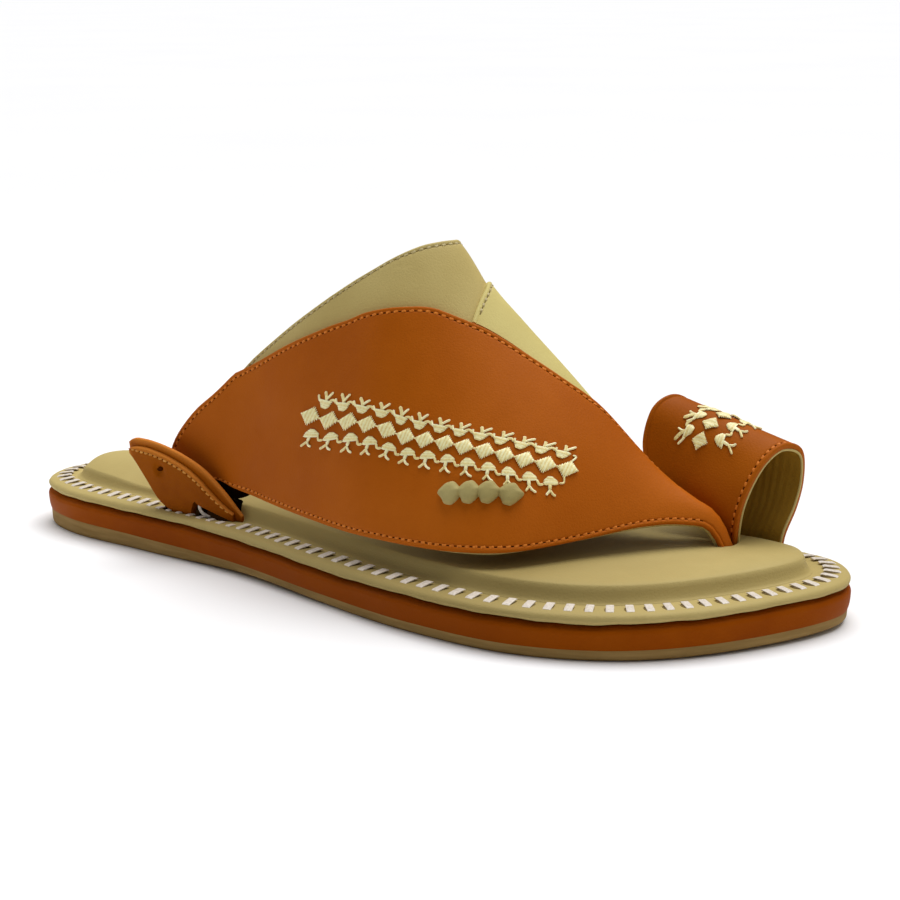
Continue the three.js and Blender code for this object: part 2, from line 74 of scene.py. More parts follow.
def smooth_table(places, *columns):
    """Smooth curves through the columns, read at places on the first list."""
    t, v = np.array(places, float), np.array(columns, float)
    last = len(t) - 1

    def read(place):
        x = np.clip(np.asarray(place, float), t[0], t[-1])
        i = np.clip(np.searchsorted(t, x, side="right"), 1, last)
        t0, t1 = t[i - 1], t[i]
        before = np.where(i >= 2, i - 2, i)
        after = np.clip(np.where(i < last, i + 1, i - 1), 0, last)
        half = (t1 - t0) / 2
        wp, wn = half / (t0 - t[before]), half / (t[after] - t1)
        p = (x - t0) / (t1 - t0)
        sp = -wp * p**3 + 2 * wp * p**2 - wp * p
        s0 = (1 + wp) * p**3 - (1.5 + 2 * wp) * p**2 + (wp - 0.5) * p + 1
        s1 = -(1 + wn) * p**3 + (1.5 + wn) * p**2 + 0.5 * p
        sn = wn * p**3 - wn * p**2
        return sp * v[:, before] + s0 * v[:, i - 1] + s1 * v[:, i] + sn * v[:, after]

    return read


last_at = smooth_table(LAST_ALONG, LAST_AXIS, LAST_RIDGE, LAST_LATERAL, LAST_MEDIAL)
lateral_edge = smooth_table(
    [-82, -67, -64.5, -61, -56, -45, -20, 20, 50, 66, 80, 89, 96, 101, 104, 105.5],
    [11.3, 11.3, 16.5, 23.6, 25.7, 24.1, 23.1, 22, 21.6, 22.2, 24, 25.5, 25, 23, 17, 11.9])
medial_edge = smooth_table(
    [-82, -50, -45, -38, -10, 30, 55, 70, 80, 89, 96, 101, 104, 105.5],
    [11.3, 11.3, 18, 23, 25, 28, 35, 36, 34, 29, 25, 23, 17, 11.9])
collar = smooth_table(
    [0, 17, 25, 29, 33, 36, 42, 48, 54, 60, 67, 75, 84, 92, 105, 120, 132, 144, 154, 163, 180],
    [-71, -75.5, -66, -57, -48.8, -43.2, -30.2, -18.5, -9.2, -1, 9.4, 15, 18.1, 18.7, 16, 4, -16,
     -38, -60, -70, -68])
vamp_top = smooth_table(
    [-60, -41, -15, -5, 4, 12, 19, 26, 33, 42, 50, 60, 68, 80, 89, 96, 105.5],
    [30.5, 35, 43.5, 47.4, 50.5, 53, 57.5, 64.4, 69.3, 74.3, 78.2, 85.2, 94.9, 104, 116, 150, 180])
wing_rear = smooth_table([60, 74, 90, 107, 125, 150, 180], [36, 32.5, 29.5, 25.5, 17, 2, -12])
loop_at = smooth_table(
    [0, 0.09, 0.19, 0.3, 0.41, 0.52, 0.63, 0.74, 0.84, 0.92, 1],
    [106.5, 107, 108.6, 110.6, 112.6, 114.8, 117, 117, 116.2, 115, 114.5],
    [28, 27.2, 26.6, 29.2, 34.4, 41, 47.4, 48.4, 45.8, 41.4, 39.6],
    [11.3, 19, 28, 36.2, 42.6, 45.7, 43.3, 35, 27, 19.5, 11.3],
    [102.2, 101.2, 88, 75, 74, 76.6, 79, 80.5, 81.5, 82.5, 83],
    [28.2, 28, 27.6, 28.4, 32.4, 39.4, 47, 50, 48, 44.4, 42.4],
    [11.3, 19, 29.5, 40.4, 53, 57.2, 53, 41, 29.5, 20.5, 11.3])
tab_at = smooth_table(
    [-89, -86.5, -81, -76, -72, -64, -56, -49, -43],
    [32.6, 31, 24.4, 18, 15.4, 11.7, 11.7, 11.7, 11.7],
    [35, 36.3, 36.7, 36.3, 35.6, 33.4, 29.5, 23.2, 16],
    [18, 18.6, 19.3, 19.8, 20, 20.3, 20.2, 19.8, 19.4])


def lerp(a, b, t):
    return a + (b - a) * t


def grids(*values):
    return np.broadcast_arrays(*(np.asarray(v, float) for v in values))


def unit(v):
    return v / np.maximum(np.linalg.norm(v, axis=-1, keepdims=True), 1e-9)


def ease(t):
    t = np.clip(t, 0, 1)
    return t * t * (3 - 2 * t)


# Form and its patches: the steps from which a normal is taken, the degrees at which it is sure,
# and how the edges of a patch settle
STEP_ALONG, STEP_AROUND, STEP_SHARE, TURN_LIMITS = 0.4, 0.6, 0.01, (1, 179)
SETTLE_ROUNDS, SETTLE_SHARE = 60, 0.4


def last_point(x, around):
    x, around = grids(x, around)
    axis, ridge, lateral, medial = last_at(x)
    angle, power = np.radians(around), 2 / LAST_FULLNESS
    reach = np.abs(np.cos(angle)) ** power * (np.where(around < 90, lateral, medial) - axis)
    sine = np.sin(angle)
    rise = np.sign(sine) * np.abs(sine) ** power * (ridge - LAST_FOOT)
    return np.stack([x, axis + reach, LAST_FOOT + rise], -1)


def last_normal(x, around):
    turn = np.clip(around, *TURN_LIMITS)
    along = last_point(x + STEP_ALONG, turn) - last_point(x - STEP_ALONG, turn)
    over = last_point(x, turn + STEP_AROUND) - last_point(x, turn - STEP_AROUND)
    return unit(np.cross(along, over))


def off_last(x, around, away):
    away = np.asarray(away, float)[..., None]
    return last_point(x, around) + last_normal(x, around) * away


def around_at(x, height):
    share = (height - LAST_FOOT) / (last_at(x)[1] - LAST_FOOT)
    return np.degrees(np.arcsin(np.clip(share, 0, 1) ** (LAST_FULLNESS / 2)))


def low_around(x):
    return around_at(x, lateral_edge(x)[0])


def high_around(x):
    return 180 - around_at(x, medial_edge(x)[0])


def patch(rear, tip, low, high):
    """A patch of the form from a rear edge to its tip, as place and degrees for two shares."""
    def place(share, around):
        return lerp(rear(around)[0], tip, share)

    def settle(share, edge):
        around = edge(place(share, np.full_like(share, 90)))
        for _ in range(SETTLE_ROUNDS):
            around = lerp(around, edge(place(share, around)), SETTLE_SHARE)
        return around

    def at(share, side):
        share, side = grids(share, side)
        around = lerp(settle(share, low), settle(share, high), side)
        return place(share, around), around

    return at


strap_place = patch(collar, UPPER_TIP, low_around, high_around)
wing_place = patch(wing_rear, WING_TIP, lambda x: vamp_top(x)[0] + WING_CLEAR, high_around)
TAIL_X = float(collar(TAIL_AROUND)[0])


def vamp_place(share, side):
    share, side = grids(share, side)
    low_x = lerp(TAIL_FRONT, UPPER_TIP, share**TAIL_FAN)
    on_top = (share - TAIL_SHARE) / (1 - TAIL_SHARE)
    rise = TAIL_AROUND * share / TAIL_SHARE
    top_x = np.where(on_top < 0, collar(rise)[0], lerp(TAIL_X, UPPER_TIP, on_top))
    top = np.where(on_top < 0, rise, np.minimum(vamp_top(top_x)[0], high_around(top_x)))
    return lerp(low_x, top_x, side), lerp(low_around(low_x), top, side)


def on_form(place):
    """A surface over the form: a point and its normal for two shares and a height."""
    def at(share, side, away):
        x, around = place(share, side)
        return off_last(x, around, away + 0 * x), last_normal(x, around)

    return at


def loop_middle(share, side):
    edge = loop_at(share)
    return np.moveaxis(lerp(edge[:3], edge[3:], np.asarray(side, float)), 0, -1)


def on_middle(middle):
    """A surface about a middle one: a point and its normal for two shares and a height."""
    def at(share, side, away):
        share, side = grids(share, side)
        s, t = (np.clip(v, STEP_SHARE, 1 - STEP_SHARE) for v in (share, side))
        along = middle(s + STEP_SHARE, t) - middle(s - STEP_SHARE, t)
        over = middle(s, t + STEP_SHARE) - middle(s, t - STEP_SHARE)
        normal = unit(np.cross(along, over))
        return middle(share, side) + normal * (away + 0 * share)[..., None], normal

    return at


on_strap, on_wing, on_vamp = on_form(strap_place), on_form(wing_place), on_form(vamp_place)
on_loop = on_middle(loop_middle)


# Sole outline and heights
RING_STEPS = 14


def plan_ring(steps):
    side = np.array([PLAN_ALONG, PLAN_LATERAL, PLAN_MEDIAL]).T
    corners = [HEEL_END] + [(a, -b) for a, b, _ in side] + [TOE_END]
    corners = np.array(corners + [(a, c) for a, _, c in side[::-1]]) * (LENGTH, BALL_WIDTH)
    p0, p1, p2, p3 = (np.roll(corners, k, 0)[:, None] for k in (1, 0, -1, -2))

    def span(a, b):
        return np.linalg.norm(b - a, axis=-1, keepdims=True) ** 0.5

    d0, d1, d2 = span(p0, p1), span(p1, p2), span(p2, p3)
    m1 = ((p1 - p0) / d0 - (p2 - p0) / (d0 + d1) + (p2 - p1) / d1) * d1
    m2 = ((p2 - p1) / d1 - (p3 - p1) / (d1 + d2) + (p3 - p2) / d2) * d1
    t = np.arange(steps)[None, :, None] / steps
    ring = p1 + m1 * t + (3 * (p2 - p1) - 2 * m1 - m2) * t**2 + (2 * (p1 - p2) + m1 + m2) * t**3
    ring = ring.reshape(-1, 2)
    lo, hi = ring.min(0), ring.max(0)
    return (ring - (lo + hi) / 2) * (LENGTH, BALL_WIDTH) / (hi - lo)


SOLE_RING = plan_ring(RING_STEPS)
RING_COUNT = len(SOLE_RING)
RING_INWARD = unit(np.roll(SOLE_RING, -1, 0) - np.roll(SOLE_RING, 1, 0))[:, ::-1] * (-1, 1)


def inset_ring(inset, margin=0.0):
    return SOLE_RING + RING_INWARD * (inset + margin)


def toe_spring(x):
    return TOE_SPRING * np.maximum(0, (x - TOE_SPRING_START) / (LENGTH / 2 - TOE_SPRING_START)) ** 2


def tread(x):
    return toe_spring(x) + ARCH_RELIEF * ease(1 - np.abs(x - ARCH_MIDDLE) / ARCH_HALF_LENGTH)


def outsole_top(x):
    return toe_spring(x) + lerp(OUTSOLE_FORE, OUTSOLE_HEEL, ease(1 - (x + LENGTH / 2) / HEEL_RUN))


def midsole_top(x):
    return outsole_top(x) + MIDSOLE


def rim_top(x):
    return midsole_top(x) + RIM


def pad_top(x):
    fall = PAD_FALL * np.maximum(0, (PAD_FALL_FRONT - x) / PAD_FALL_RUN) ** 2
    return rim_top(x) - fall + lerp(PAD, PAD_HEEL, ease((PAD_HEEL_FRONT - x) / PAD_HEEL_RUN))


PAD_MARGIN = PAD_TOE_MARGIN * ease((SOLE_RING[:, :1] - PAD_TOE_REAR) / PAD_TOE_RUN)


# Meshes
SHARP = 48


def show(name, data):
    obj = bpy.data.objects.new(name, data)
    scene.collection.objects.link(obj)
    return obj


def mesh_object(name, points, faces, material):
    mesh = bpy.data.meshes.new(name)
    mesh.from_pydata((np.reshape(points, (-1, 3)) * MM).tolist(), [], faces)
    mesh.materials.append(material)
    return show(name, mesh)


def piece(name, points, faces, material, replaces=()):
    obj = mesh_object(name, points, faces, material)
    obj.data.polygons.foreach_set("use_smooth", [True] * len(faces))
    obj.data.set_sharp_from_angle(angle=math.radians(SHARP))
    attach(obj, "root")
    if replaces:
        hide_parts(*replaces)
    return obj


def settle_modifiers(obj):
    graph = bpy.context.evaluated_depsgraph_get()
    mesh = bpy.data.meshes.new_from_object(obj.evaluated_get(graph))
    obj.modifiers.clear()
    obj.data = mesh
    mesh.set_sharp_from_angle(angle=math.radians(SHARP))


def grid_faces(rows, columns, first=0, flip=False):
    i, j = np.meshgrid(np.arange(rows - 1), np.arange(columns - 1), indexing="ij")
    a = (first + i * columns + j).ravel()
    quads = np.stack([a, a + columns, a + columns + 1, a + 1], -1)
    return (quads[:, ::-1] if flip else quads).tolist()


def side_faces(levels, count):
    """The faces between rings of points, one above the other."""
    return [[low + i, low + (i + 1) % count, low + count + (i + 1) % count, low + count + i]
            for low in range(0, (levels - 1) * count, count) for i in range(count)]


def closed_faces(levels, count):
    ends = [list(range(count))[::-1], list(range((levels - 1) * count, levels * count))]
    return side_faces(levels, count) + ends


def wall(name, outer, inner, material, replaces=()):
    """A closed wall between two grids of points."""
    rows, columns = outer.shape[:2]
    inside = rows * columns
    faces = grid_faces(rows, columns) + grid_faces(rows, columns, inside, True)
    for i in range(rows - 1):
        low, high = i * columns, i * columns + columns - 1
        faces.append([low, inside + low, inside + low + columns, low + columns])
        faces.append([high, high + columns, inside + high + columns, inside + high])
    for j in range(columns - 1):
        end = (rows - 1) * columns + j
        faces.append([j, j + 1, inside + j + 1, inside + j])
        faces.append([end, inside + end, inside + end + 1, end + 1])
    points = np.concatenate([outer.reshape(-1, 3), inner.reshape(-1, 3)])
    return piece(name, points, faces, material, replaces)


# Free edges of the leather: the insets of a margin's columns, the stitches' groove, the edge's
# rounding, the largest shares of a surface and a wall that these take, and the run of its tone
MARGIN = np.array([0, 0.05, 0.16, 0.34, 0.56, 0.8, 1.05, 1.25, 1.4, 1.55, 1.7, 1.85, 2.1, 2.5, 3.4])
SEAM_COLUMN = 9
SEAM_INSET, SEAM_HALF, SEAM_DEPTH = MARGIN[SEAM_COLUMN], 0.36, 0.26
EDGE_ROUND, EDGE_ROLL = 0.55, 0.14
MARGIN_SHARE, RELIEF_SHARE, EDGE_FADE = 0.4, 0.7, 1.3
FAR, TINY = 99.0, 0.004


def margins(surface, fixed, count, level, low, high, across=True):
    """Shares over a surface, with the columns of a margin at the chosen ends."""
    def point(share):
        both = (fixed, share + 0 * fixed) if across else (share + 0 * fixed, fixed)
        return surface(*both, level)[0]

    def strip(a, b):
        reach = np.linalg.norm(point(b) - point(a), axis=-1) / (b - a)
        return np.minimum(MARGIN / reach[:, None], MARGIN / MARGIN[-1] * MARGIN_SHARE)

    none = np.zeros((len(fixed), 1))
    lead = strip(0, TINY) if low else none
    tail = strip(1 - TINY, 1) if high else none
    middle = lerp(lead[:, -1:], 1 - tail[:, -1:], np.linspace(0, 1, count)[None, 1:-1])
    return np.concatenate([lead, middle, 1 - tail[:, ::-1]], 1)


def insets(total, low, high):
    made = np.full(total, FAR)
    if low:
        made[:len(MARGIN)] = MARGIN
    if high:
        made[-len(MARGIN):] = MARGIN[::-1]
    return made


def relief(inset, sewn):
    edge = np.clip(EDGE_ROUND - inset, 0, EDGE_ROUND)
    drop = EDGE_ROUND - np.sqrt(EDGE_ROUND**2 - edge**2)
    half = SEAM_INSET / 2
    roll = EDGE_ROLL * np.clip(1 - ((inset - half) / half) ** 2, 0, 1)
    groove = SEAM_DEPTH * np.exp(-(((inset - SEAM_INSET) / SEAM_HALF) ** 2))
    return sewn * (roll - groove) - drop


def leather_wall(name, surface, counts, levels, material, replaces=(), rear=None, low=None,
                 high=None, dent=None):
    """A wall of leather. An edge is plain at None, rounded at 0 and sewn at 1."""
    outer, inner = levels
    ends, sides = (rear is not None, False), (low is not None, high is not None)
    middle = np.array([0.5])
    row_place = margins(surface, middle, counts[0], outer, *ends, False)[0]
    column_place = margins(surface, middle, counts[1], outer, *sides)[0]
    s = margins(surface, column_place, counts[0], outer, *ends, False).T
    t = margins(surface, row_place, counts[1], outer, *sides)
    row_inset, column_inset = insets(len(s), *ends), insets(s.shape[1], *sides)
    rise = relief(row_inset, rear or 0)[:, None] + relief(column_inset, low or high or 0)[None]
    rise = np.maximum(rise, RELIEF_SHARE * (inner - outer))
    if dent:
        rise = rise - dent(surface(s, t, outer)[0])
    face, back = surface(s, t, outer + rise)[0], surface(s, t, inner)[0]
    made = wall(name, face, back, material, replaces)
    nearness = np.exp(-np.minimum(row_inset[:, None], column_inset[None]) / EDGE_FADE)
    spots = made.data.attributes.new("edge", "FLOAT", "POINT")
    spots.data.foreach_set("value", np.tile(nearness.ravel(), 2).astype(np.float32))
    return made


def sheet(surface, counts, level, side):
    """A grid of points on a surface at one level."""
    s, t = (np.linspace(0, 1, count) for count in counts)
    s, t = np.meshgrid(s, lerp(*side, t), indexing="ij")
    return surface(s, t, level)[0]


# Width from which a crowned top has its full rise, and the steps of a rounded edge's profile
CROWN_WIDTH, PROFILE_STEPS = 52, 3


def ring_solid(name, rings, material, replaces=(), crown=np.zeros_like, across=10):
    """A closed solid through rings from the lowest to the highest, its top crowned in strips."""
    count = len(rings[0])
    half = count // 2
    points = list(np.concatenate(rings))
    faces = side_faces(len(rings), count)
    top = (len(rings) - 1) * count
    strips = []
    for i in range(half + 1):
        left, right = top + i, top + (count - i) % count
        if left == right:
            strips.append([left] * (across + 1))
            continue
        row = [left]
        fullness = min(1, np.linalg.norm(points[right] - points[left]) / CROWN_WIDTH)
        for k in range(1, across):
            share = k / across
            p = lerp(points[left], points[right], share)
            rise = float(crown(p[0])) * fullness * (2 - fullness) * (1 - (2 * share - 1) ** 2)
            row.append(len(points))
            points.append(p + np.array([0, 0, rise]))
        strips.append(row + [right])

    def distinct(face):
        return [v for i, v in enumerate(face) if v not in face[:i]]

    for a, b in zip(strips, strips[1:]):
        faces += [distinct([a[k], b[k], b[k + 1], a[k + 1]]) for k in range(across)]
    faces += [distinct([(count - i) % count, count - i - 1, i + 1, i]) for i in range(half)]
    return piece(name, np.array(points), faces, material, replaces)


def profile(rows, foot, top, low_wave=0.0, high_wave=0.0, margin=0.0):
    """Rings along a rounded edge given as inset and share of the layer's height."""
    rows = np.array(rows, float)
    read = smooth_table(np.arange(len(rows)), rows[:, 0], rows[:, 1])
    rings = []
    for q in np.linspace(0, len(rows) - 1, (len(rows) - 1) * PROFILE_STEPS + 1):
        inset, share = (float(v) for v in read(q))
        plan = inset_ring(inset, margin)
        height = lerp(foot(plan[:, 0]), top(plan[:, 0]), share) + lerp(low_wave, high_wave, share)
        rings.append(np.column_stack([plan, height]))
    return rings


def joined(name, parts, material, replaces=()):
    points, faces, first = [], [], 0
    for p, f in parts:
        points.append(p)
        faces += [[v + first for v in face] for face in f]
        first += len(p)
    return piece(name, np.concatenate(points), faces, material, replaces)


def thread(path, normal, width, height, sides=6, ends=0.25, squareness=1.0):
    """A flattened tube along a path, with pinched ends."""
    n, normal = len(path), np.broadcast_to(normal, path.shape)
    tangent = unit(np.gradient(path, axis=0))
    across = unit(np.cross(normal, tangent))
    turn = (np.arange(sides) + 0.5) / sides * 2 * math.pi

    def swing(v):
        return np.sign(v) * np.abs(v) ** squareness

    size = np.ones(n)
    size[0] = size[-1] = ends
    rim = (across[:, None] * (swing(np.cos(turn)) * width / 2)[None, :, None]
           + normal[:, None] * (swing(np.sin(turn)) * height / 2)[None, :, None])
    points = (path[:, None] + rim * size[:, None, None]).reshape(-1, 3)
    return points, closed_faces(n, sides)


def resample(points, normals, pitch):
    step = np.linalg.norm(np.diff(points, axis=0), axis=1)
    run = np.concatenate([[0], np.cumsum(step)])
    count = max(2, int(round(run[-1] / pitch)))
    at = np.linspace(0, run[-1], count + 1)

    def read(v):
        return np.stack([np.interp(at, run, v[:, k]) for k in range(3)], -1)

    return read(points), unit(read(normals))


STITCH_LENGTH, STITCH_WIDTH, STITCH_THICK, STITCH_SLANT = 1.75, 0.8, 0.5, 0.16
STITCH_POINTS, STITCH_RISE, STITCH_DIP = 7, 0.2, 0.4
HOLE_LENGTH, HOLE_WIDTH, SEAM_POINTS = 0.5, 0.46, 500
DOT_ROOT, DOT_TAPER = 0.3, 0.9


def stitch_row(name, slot, line, material, hole, pitch):
    """A row of sewn stitches on a line, and dark pads of painted shade at the needle holes between
    them.
    """
    p, n = resample(*line, pitch)
    dashes, holes = [], []
    q = np.linspace(-1, 1, STITCH_POINTS)
    for a, b, up in zip(p, p[1:], unit(n[:-1] + n[1:])):
        ahead = unit(b - a)
        run = unit(ahead + np.cross(up, ahead) * STITCH_SLANT) * STITCH_LENGTH / 2
        path = (a + b) / 2 + run * q[:, None] + up * (STITCH_RISE - STITCH_DIP * q**4)[:, None]
        dashes.append(thread(path, up, STITCH_WIDTH, STITCH_THICK))
    for a, up, ahead in zip(p, n, np.gradient(p, axis=0)):
        holes.append(dot(a, up, unit(ahead), HOLE_LENGTH, HOLE_WIDTH))
    joined(name + "_holes", holes, hole)
    joined(name, dashes, material)


def dot(middle, up, along, length, width, height=0.07, sides=10):
    """A small flat pad on a surface."""
    across = np.cross(up, along)
    turn = np.arange(sides) / sides * 2 * math.pi
    rim = (along[None] * (np.cos(turn) * length)[:, None]
           + across[None] * (np.sin(turn) * width)[:, None])
    points = np.concatenate([middle + rim - up * DOT_ROOT, middle + rim * DOT_TAPER + up * height])
    return points, closed_faces(2, sides)


def seam_line(surface, span, level, edge):
    """The line of the groove along an edge of a surface."""
    q = np.linspace(*span, SEAM_POINTS)
    across = edge != "rear"
    share = margins(surface, q, 3, level, True, True, across)
    share = share[:, -1 - SEAM_COLUMN] if edge == "high" else share[:, SEAM_COLUMN]
    both = (q, share) if across else (share, q)
    return surface(*both, level - SEAM_DEPTH)


# Materials


def srgb(r, g, b):
    return [c / 12.92 if c <= 0.04045 else ((c + 0.055) / 1.055) ** 2.4
            for c in (r / 255, g / 255, b / 255)] + [1]


class Nodes:
    """A material's node tree, with short calls for its usual nodes."""

    def __init__(self, name, rough, specular):
        self.material = bpy.data.materials.new(name)
        self.material.use_nodes = True
        self.tree = self.material.node_tree
        self.put("Roughness", rough)
        self.put("Specular IOR Level", specular)
        self.place = self.node("TexCoord", {}).outputs["Object"]

    def feed(self, socket, value):
        """Links an output to a socket, or sets a plain value on it."""
        if isinstance(value, bpy.types.NodeSocket):
            self.tree.links.new(value, socket)
        else:
            socket.default_value = value

    def put(self, key, value):
        self.feed(self.tree.nodes["Principled BSDF"].inputs[key], value)

    def node(self, kind, inputs, **settings):
        made = self.tree.nodes.new("ShaderNode" + kind)
        for key, value in settings.items():
            setattr(made, key, value)
        for key, value in inputs.items():
            self.feed(made.inputs[key], value)
        return made

    def stretched(self, scale):
        made = self.node("Mapping", {"Scale": scale, "Vector": self.place})
        return made.outputs["Vector"]

    def noise(self, scale, detail=4.0, rough=0.55, place=None):
        inputs = {"Scale": scale, "Detail": detail, "Roughness": rough,
                  "Vector": place or self.place}
        return self.node("TexNoise", inputs).outputs["Fac"]

    def cells(self, scale):
        inputs = {"Scale": scale, "Vector": self.place}
        made = self.node("TexVoronoi", inputs, feature="DISTANCE_TO_EDGE")
        return made.outputs["Distance"]

    def along(self):
        """The place along the shoe, 0 at the heel and 1 at the toe."""
        half = LENGTH / 2 * MM
        made = self.node("SeparateXYZ", {"Vector": self.place})
        return self.range(made.outputs["X"], -half, half, 0, 1)

    def attribute(self, name):
        return self.node("Attribute", {}, attribute_name=name).outputs["Fac"]

    def ramp(self, value, stops):
        made = self.node("ValToRGB", {"Fac": value})
        elements = made.color_ramp.elements
        while len(elements) < len(stops):
            elements.new(0.5)
        for element, (position, colour) in zip(elements, stops):
            element.position = position
            element.color = colour
        return made.outputs["Color"]

    def range(self, value, low, high, new_low, new_high):
        inputs = {"Value": value, "From Min": low, "From Max": high,
                  "To Min": new_low, "To Max": new_high}
        return self.node("MapRange", inputs).outputs["Result"]

    def mix(self, share, a, b):
        made = self.node("Mix", {}, data_type="RGBA")
        for key, value in (("Factor", share), ("A", a), ("B", b)):
            self.feed([s for s in made.inputs if s.name == key and s.enabled][0], value)
        return [s for s in made.outputs if s.enabled][0]

    def add(self, a, b, weight):
        made = self.node("Math", {0: b, 1: weight, 2: a}, operation="MULTIPLY_ADD")
        return made.outputs[0]

    def bump(self, height, strength, distance):
        inputs = {"Height": height, "Strength": strength, "Distance": distance * MM}
        self.put("Normal", self.node("Bump", inputs).outputs["Normal"])


# Patterns in the materials, in repeats per metre, and the spans of noise and edge that they read
CLOUDS, CLOUD_STOPS = 18, (0.32, 0.52, 0.72)
PORES, PORE_TONE, PORE_WEIGHT = 2600, 0.14, 0.5
CELLS, CELL_EDGE, CREASES, CREASE_WEIGHT, GRAIN_DEPTH = 950, 0.25, 110, 8, 0.12
SMEARS, SMEAR_LOW, SMEAR_HIGH = 60, -0.06, 0.08
NOISE_SPAN, EDGE_SPAN, EDGE_TONE = (0.3, 0.7), (0.15, 0.9), 0.75
THREAD_TONES, THREAD_FUZZ, FUZZ_STRENGTH, FUZZ_DEPTH = 1500, 5200, 0.4, 0.06
HOLE_TONES, HOLE_ROUGH = 900, 0.9
STREAKS, STREAK_FLATNESS, TREAD_GRAIN, TREAD_FLATNESS = 60, 14, 900, 4

# Shares of the painted shade along the shoe, darkest at the ball
BALL_SHADE = [(place, [share, share, share, 1]) for place, share in
           [(0.12, 0), (0.36, 0.5), (0.6, 0.95), (0.76, 1), (0.9, 0.1)]]


def leather(name, tone, dark, light, worn, rough=0.5, specular=0.05, grain=0.25, crease=0.2,
            ball_shade=None):
    """Dyed leather: clouded colour, pores, soft creases, the worn edges' tone, and where given a
    painted shade darkest at the ball.
    """
    m = Nodes(name, rough, specular)
    tones = [srgb(*t) for t in (dark, tone, light)]
    base = m.ramp(m.noise(CLOUDS, 6, 0.6), list(zip(CLOUD_STOPS, tones)))
    # Painted shade along the shoe, darkest at the ball
    if ball_shade:
        base = m.mix(m.ramp(m.along(), BALL_SHADE), base, srgb(*ball_shade))
    fine = m.noise(PORES, 2, 0.5)
    base = m.mix(m.range(fine, *NOISE_SPAN, 0, PORE_TONE), base, srgb(*dark))
    edge = m.range(m.attribute("edge"), *EDGE_SPAN, 0, EDGE_TONE)
    m.put("Base Color", m.mix(edge, base, srgb(*worn)))
    smears = m.range(m.noise(SMEARS, 4), *NOISE_SPAN, rough + SMEAR_LOW, rough + SMEAR_HIGH)
    m.put("Roughness", smears)
    height = m.add(m.range(m.cells(CELLS), 0, CELL_EDGE, 0, 1), fine, PORE_WEIGHT)
    height = m.add(height, m.noise(CREASES, 3, 0.5), crease * CREASE_WEIGHT)
    m.bump(height, grain, GRAIN_DEPTH)
    return m.material


def two_tones(m, value, dark, light, span=NOISE_SPAN):
    m.put("Base Color", m.ramp(value, [(span[0], srgb(*dark)), (span[1], srgb(*light))]))


def thread_material(name, colour, dark, rough=0.42, sheen=0.3, specular=0.4):
    m = Nodes(name, rough, specular)
    two_tones(m, m.noise(THREAD_TONES, 3), dark, colour, (0.3, 0.65))
    m.bump(m.noise(THREAD_FUZZ, 2), FUZZ_STRENGTH, FUZZ_DEPTH)
    m.put("Sheen Weight", sheen)
    return m.material


# Dark pads and cut walls that stand for shade: painted shade
def painted_shade_material(name, dark, light):
    m = Nodes(name, HOLE_ROUGH, 0)
    two_tones(m, m.noise(HOLE_TONES), dark, light)
    return m.material


def tread_material():
    m = Nodes("tan_rubber", 0.8, 0.2)
    streaks = m.noise(STREAKS, 4, 0.6, m.stretched((1, 1, STREAK_FLATNESS)))
    two_tones(m, streaks, (136, 107, 58), (162, 131, 78))
    m.bump(m.noise(TREAD_GRAIN, 3, 0.6, m.stretched((1, 1, TREAD_FLATNESS))), 0.3, 0.15)
    return m.material


BROWN = leather("brown_leather", (176, 90, 13), (166, 82, 7), (186, 98, 19), (180, 94, 17))
LOOP_BROWN = leather("loop_leather", (164, 84, 8), (152, 75, 4), (176, 93, 14), (172, 90, 14))
TAB_BROWN = leather("tab_leather", (154, 80, 0), (132, 64, 0), (176, 98, 6), (220, 136, 54),
                    rough=0.52, specular=0.03)
CREAM = leather("cream_leather", (194, 174, 110), (186, 165, 101), (203, 184, 120), (204, 185, 122),
                rough=0.55, specular=0.1)
# The wing's cream is a lighter copy of the strap's cream: painted light on the wing.
LIT_WING_CREAM = leather("wing_leather_painted_light", (208, 192, 121), (200, 183, 113), (216, 201, 130),
                     (216, 201, 131), rough=0.55, specular=0.1)
# The footbed's last tone is painted shade, darkest at the ball.
FOOTBED = leather("cream_footbed", (186, 166, 106), (177, 157, 97), (195, 176, 115),
                  (192, 174, 116), rough=0.56, specular=0.1, ball_shade=(160, 141, 87))
LINING = leather("cream_lining", (154, 116, 40), (138, 100, 28), (170, 132, 54), (172, 142, 78),
                 rough=0.65, grain=0.4, crease=0.5)
# The sole edge is darker than the vamp: its own tone plus painted shade on its upright side.
EDGE = leather("sole_edge_leather", (150, 71, 0), (134, 59, 0), (166, 83, 4), (150, 71, 0),
               specular=0.03, ball_shade=(136, 63, 0))
LACE = leather("khaki_leather", (170, 155, 98), (156, 140, 84), (182, 168, 112), (170, 155, 98),
               rough=0.55, specular=0.12)
GOLD = thread_material("gold_thread", (255, 251, 202), (250, 236, 168))
GOLD_PAINTED_SHADE = thread_material("gold_thread_painted_shade", (250, 236, 168), (232, 208, 132))
WHITE = thread_material("white_tape", (224, 213, 200), (198, 186, 170), 0.5, 0.1)
TAN_THREAD = thread_material("tan_thread", (226, 132, 44), (186, 98, 24), 0.5, 0.05, 0.1)
TAB_THREAD = thread_material("tab_thread", (220, 156, 70), (180, 112, 36), 0.5, 0.05, 0.1)
CREAM_THREAD = thread_material("cream_thread", (196, 178, 120), (166, 146, 90))
# Needle holes and the tab's eyelet are dark pads of painted shade.
BROWN_HOLE_SHADE = painted_shade_material("brown_hole_shade", (48, 18, 2), (74, 32, 6))
CREAM_HOLE_SHADE = painted_shade_material("cream_hole_shade", (108, 90, 54), (130, 110, 70))
RIM_BAR_SHADE = painted_shade_material("rim_bar_shades", (128, 108, 68), (148, 128, 84))
SLIT_SHADE = painted_shade_material("slit_shade", (20, 10, 4), (34, 18, 6))
RUBBER = tread_material()

